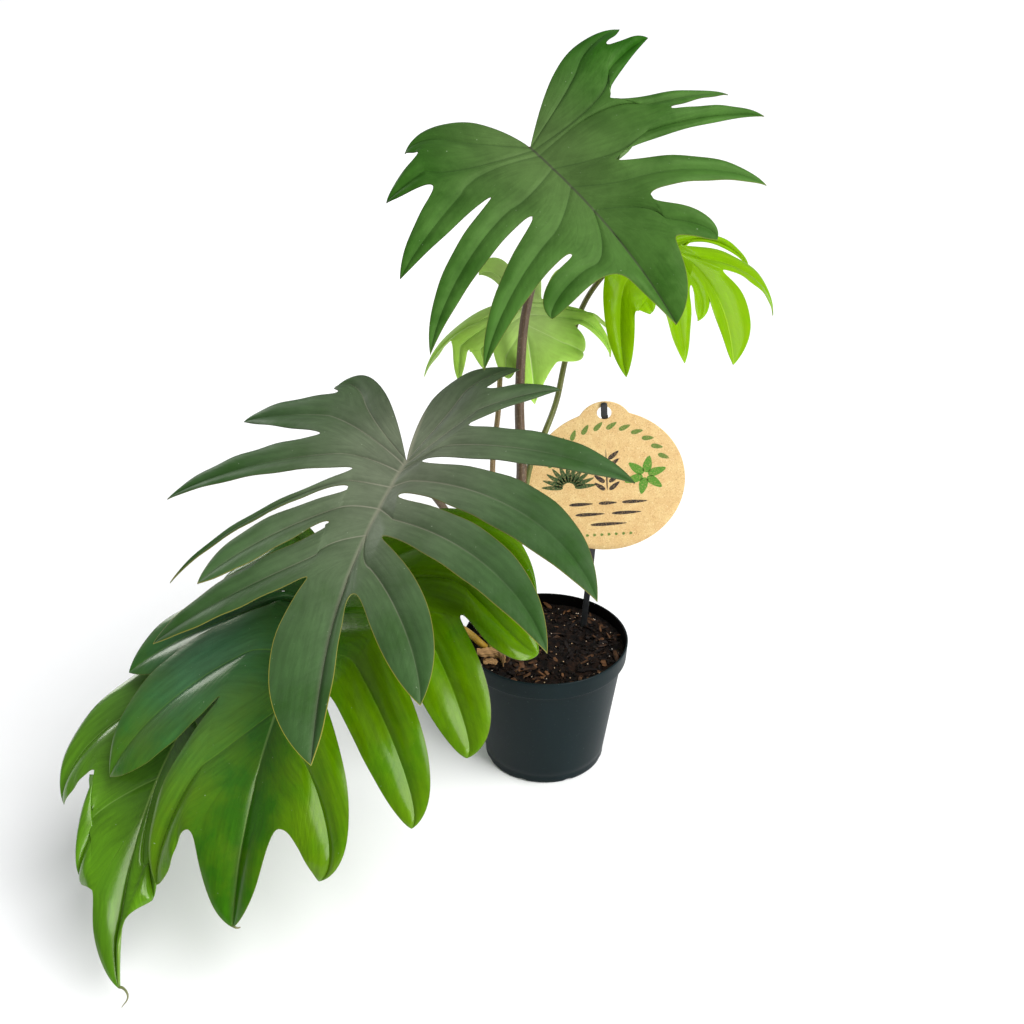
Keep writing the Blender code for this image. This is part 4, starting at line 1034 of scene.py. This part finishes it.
# Label card and stake
card = dict(
    centre=(0.0423, 0.0217, 0.2155), radius=0.0548, thickness=0.0008, lean=4.0, tabRadius=0.0195,
    tabRise=0.0425, holeRadius=0.0050, holeRise=0.0535, edge=0.00025, soften=0.0007, steps=360, rings=24)
stake = dict(
    width=0.0046, thickness=0.0014, squareness=0.4, foot=(0.0290, 0.0240), gap=0.0005,
    steps=24, step=0.0015,
    footShift=0.0003, footRise=0.006,  # where it leaves the upright, over the soil
    aside=(-0.0126, -0.0065),  # how far left it stands behind the card's foot and middle
    slip=0.0005, bendLow=0.003, bendHigh=0.001, through=(0.75, 0.55))  # how it passes the card's hole
printForm = dict(steps=24, gap=0.00002, height=0.00005, point=0.35)  # ink on the board's front


# world place of points (x, y, z) about the card's centre: turned by the lean about Y
def leanCard(points):
    points = np.asarray(points, float)
    x, z = rotate(points[..., 0], points[..., 2], np.radians(card["lean"]))
    return np.stack([x, points[..., 1], z], -1) + card["centre"]


# Outline from the hole's centre: the farther of the two circles' far crossings in each direction,
# r = d . u + sqrt(R^2 - |d|^2 + (d . u)^2), softened where they meet
def cardReach(turn):
    direction = np.column_stack([np.sin(turn), np.cos(turn)])
    reach = []
    for rise, radius in ((0.0, card["radius"]), (card["tabRise"], card["tabRadius"])):
        away = np.array([0.0, rise - card["holeRise"]])
        ahead = direction @ away
        reach.append(ahead + np.sqrt(np.maximum(radius ** 2 - away @ away + ahead ** 2, 0)))
    return card["soften"] * np.logaddexp(reach[0] / card["soften"], reach[1] / card["soften"])


# Card: a ring between hole and outline, front face, bevelled edge and back face in one closed grid
def buildCard(material):
    turn = fullTurn(card["steps"])
    outer, half, soft = cardReach(turn), card["thickness"] / 2, card["edge"]
    shares = np.linspace(0, 1, card["rings"])
    face = [between((card["holeRadius"], outer - soft), share) for share in shares]
    rows = [(reach, -half) for reach in face] + [(outer, soft - half), (outer, half - soft)]
    rows += [(reach, half) for reach in face[::-1]] + [(face[0], -half)]
    grid = [np.stack([r * np.sin(turn), y + 0 * turn, card["holeRise"] + r * np.cos(turn)], -1)
            for r, y in rows]
    points, faces = closedGrids(leanCard(grid)[None])[:2]
    addPiece("label_card_board", points, faces, material, ["label_card"])


# kraft board: unbleached pulp, warm tan with brown and pale flecks of fibre
def kraftMaterial():
    material, tree = newMaterial("kraft board")
    place = addNode(tree, "TexCoord", output="Object")
    cloud = addNode(tree, "TexNoise", place, 160.0, 4.0)
    fibre = addNode(tree, "TexNoise", place, 1300.0, 2.0)
    colour = addNode(tree, "Mix", cloud, "#d2a56c", "#ecd092", data_type="RGBA")
    colour = flecked(tree, colour, "#a06c36", fibre, 0.58, 0.70, 0.60)
    colour = flecked(tree, colour, "#fff0c4", fibre, 0.40, 0.28, 0.50)
    bump = addNode(tree, "Bump", 0.15, 0.0002, Height=fibre)
    return finish(material, {"Base Color": colour, "Normal": bump, "Roughness": 0.72, "IOR": 1.45})


# printing ink on board, worn through to the pulp in places
def inkMaterial(name, ink):
    material, tree = newMaterial(name)
    wear = addNode(tree, "TexNoise", addNode(tree, "TexCoord", output="Object"), 900.0, 2.0)
    colour = flecked(tree, ink, "#d9b075", wear, 0.5, 0.7, 0.35)
    return finish(material, {"Base Color": colour, "Roughness": 0.6, "IOR": 1.45})


# Printed leaflets in one array: point = centre + s (a cos u, b sin u (1 - point cos u)), turned, with half
# length a, half width b and s from 0 to 1
def buildPrint(name, ovals, material):
    x, z, a, b, turn = (np.array(ovals)[:, k, None, None] for k in range(5))
    s = np.array([0, 0.5, 1, 1, 0.5, 0])[None, :, None]
    depth = np.array([1, 1, 1, 0, 0, 0])[None, :, None]
    u = fullTurn(printForm["steps"])[None, None]
    px, pz = rotate(s * a * np.cos(u), s * b * np.sin(u) * (1 - printForm["point"] * np.cos(u)), turn)
    py = -card["thickness"] / 2 - printForm["gap"] - printForm["height"] * depth + 0 * px
    points, faces = closedGrids(leanCard(np.stack([x + px, py, z + pz], -1)))[:2]
    addPiece(name, points, faces, material)


# Generic print about the card's centre: three wreaths of leaflets with angles (start, end, step) in
# degrees, a twig, a row of dots, and plain bars of (x, z, half length)
wreaths = dict(
    arc=dict(centre=(0, 0), radius=0.04384, angles=(156, 23, -12), leaflet=(0.0042, 0.0017), twist=-0.8708),
    fan=dict(centre=(-0.027, -0.003), radius=0.0118, angles=(5, 176, 17), leaflet=(0.0076, 0.0017)),
    rosette=dict(centre=(0.027, 0.004), radius=0.0086, angles=(18, 378, 60), leaflet=(0.0066, 0.0030)))
twig = dict(
    middle=0.010, stalk=(0.0160, 0.0005), leaflet=(0.0047, 0.0016), away=0.0052, twist=0.7,
    heights=(-0.003, 0.003, 0.009, 0.015, 0.021))
dots = dict(places=range(-3, 4), spacing=0.0052, height=-0.0420, radius=0.0011)
bars = dict(halfWidth=0.0013, places=(
    (-0.0190, -0.0165, 0.0085), (0.0000, -0.0165, 0.0065), (0.0190, -0.0165, 0.0090),
    (-0.0130, -0.0250, 0.0105), (0.0130, -0.0250, 0.0105), (0.0000, -0.0335, 0.0130)))


# Ovals on a circle: centre + radius (cos t, sin t), each turned by t + twist
def wreathOvals(form):
    (x, z), radius, twist = form["centre"], form["radius"], form.get("twist", 0)
    return [(x + radius * np.cos(t), z + radius * np.sin(t), *form["leaflet"], t + twist)
            for t in np.radians(np.arange(*form["angles"]))]


# each motif as a list of ovals (x, z, half length, half width, turn)
def printedMotifs():
    arc, fan, rosette = (wreathOvals(wreaths[key]) for key in ("arc", "fan", "rosette"))
    arc += [(k * dots["spacing"], dots["height"], dots["radius"], dots["radius"], 0.0)
            for k in dots["places"]]
    dark = [(0.0, twig["middle"], *twig["stalk"], np.pi / 2)]
    dark += [(side * twig["away"], z, *twig["leaflet"], side * twig["twist"] + level)
             for z in twig["heights"] for side, level in ((-1, np.pi), (1, 0))]
    dark += [(x, z, length, bars["halfWidth"], 0.0) for x, z, length in bars["places"]]
    return arc, fan, dark, rosette


# moulded polystyrene: black and satin, a little greyer where it is scuffed
def stakeMaterial():
    material, tree = newMaterial("black polystyrene")
    scuff = addNode(tree, "TexNoise", addNode(tree, "TexCoord", output="Object"), 400.0, 3.0)
    colour = addNode(tree, "Mix", scuff, "#0b0c0d", "#26282a", data_type="RGBA")
    return finish(material, {"Base Color": colour, "Roughness": 0.38, "IOR": 1.55})


# Stake: rounded bar, point = path + (+-|cos u|^n w, +-|sin u|^n h), where n is its squareness
def buildStake():
    behind = card["thickness"] / 2 + stake["gap"] + stake["thickness"] / 2
    hole, reach = card["holeRise"], card["holeRadius"] + stake["slip"]
    (x, y), (left, lessLeft), bendLow = stake["foot"], stake["aside"], stake["bendLow"]
    foot = uprightFoot(x, y) + [(x + stake["footShift"], y, planted["high"] + stake["footRise"])]
    depth, rise = np.array(stake["through"]) * (behind, reach)
    upper = leanCard([
        (left, behind, -card["radius"]), (lessLeft, behind, 0), (0, behind, hole - reach - bendLow),
        (0, depth, hole - rise), (0, -depth, hole + rise),
        (0, -behind, hole + reach + stake["bendHigh"]), (0, -behind, card["tabRise"] + card["tabRadius"])])
    path = smoothRoute(np.vstack([foot, upper]), stake["step"])
    side, lift = pathFrames(path, np.array([1.0, 0.0, 0.0]))[1:]
    turn = fullTurn(stake["steps"])
    wide, high = (np.sign(part) * np.abs(part) ** stake["squareness"] * size / 2 for part, size in (
        (np.cos(turn), stake["width"]), (np.sin(turn), stake["thickness"])))
    scale = np.concatenate([[0, 0.9], np.ones(len(path) - 4), [0.9, 0]])[:, None, None]
    grid = path[:, None] + scale * (wide[:, None] * side[:, None] + high[:, None] * lift[:, None])
    points, faces = closedGrids(grid[None])[:2]
    addPiece("label_stake_bar", points, faces, stakeMaterial(), ["label_stake"])


buildCard(kraftMaterial())
inks = (("arc", "olive ink", "#5f7d2e"), ("fan", "dark green ink", "#2c4a1c"),
        ("dark", "near black ink", "#241c18"), ("rosette", "bright green ink", "#4f8a1e"))
for (motif, ink, tint), ovals in zip(inks, printedMotifs()):
    buildPrint("label_print_" + motif, ovals, inkMaterial(ink, tint))
buildStake()
print("label built")


# Studio
studio = dict(
    floor="#f8f8f8", floorSize=60.0, sky="#f2f4f8", skyStrength=0.32, target=(-0.03, 0.0, 0.2),
    sun=dict(aim=(-0.70, 0.42, -1.0), strength=3.2, spread=44.0),
    sheen=dict(place=(-2.4, 2.2, 1.6), size=1.2, power=36.0),
    side=dict(place=(1.9, -1.9, 1.0), size=1.0, power=30.0))
view = dict(eye=(-0.0245, -0.832, 0.655), pitch=28.5, lens=48.0)


# a square lamp where it has a place, or else a sun, turned so that its -Z axis points along its aim
def buildLamp(name, form):
    lamp = bpy.data.lights.new(name, "AREA" if "place" in form else "SUN")
    item = addObject(name, lamp)
    if "place" in form:
        lamp.energy, lamp.size = form["power"], form["size"]
        item.location = form["place"]
        aim = np.array(studio["target"]) - form["place"]
    else:
        lamp.energy, lamp.angle = form["strength"], np.radians(form["spread"])
        aim = form["aim"]
    item.rotation_euler = (np.arctan2(np.hypot(aim[0], aim[1]), -aim[2]), 0, np.arctan2(-aim[0], aim[1]))


# plain paper sweep, soft sky, one sun and two soft lamps, and the camera at its place and pitch
def buildStudio():
    size = studio["floorSize"] / 2
    mesh = bpy.data.meshes.new("floor")
    corners = [(x * size, y * size, 0) for x, y in ((-1, -1), (1, -1), (1, 1), (-1, 1))]
    mesh.from_pydata(corners, [], [(0, 1, 2, 3)])
    paper = newMaterial("white paper sweep")[0]
    mesh.materials.append(finish(paper, {"Base Color": studio["floor"], "Roughness": 0.9}))
    addObject("floor", mesh)
    scene, world = bpy.context.scene, bpy.data.worlds.new("studio sky")
    world.use_nodes = True
    feed(world.node_tree.nodes["Background"].inputs["Color"], studio["sky"])
    feed(world.node_tree.nodes["Background"].inputs["Strength"], studio["skyStrength"])
    scene.world = world
    for name in ("sun", "sheen", "side"):
        buildLamp(name, studio[name])
    camera = addObject("camera", bpy.data.cameras.new("camera"))
    camera.data.lens = view["lens"]
    camera.location = view["eye"]
    camera.rotation_euler = (np.radians(90 - view["pitch"]), 0, 0)
    scene.camera = camera
    scene.view_settings.view_transform = "Standard"


buildStudio()
print("studio built")
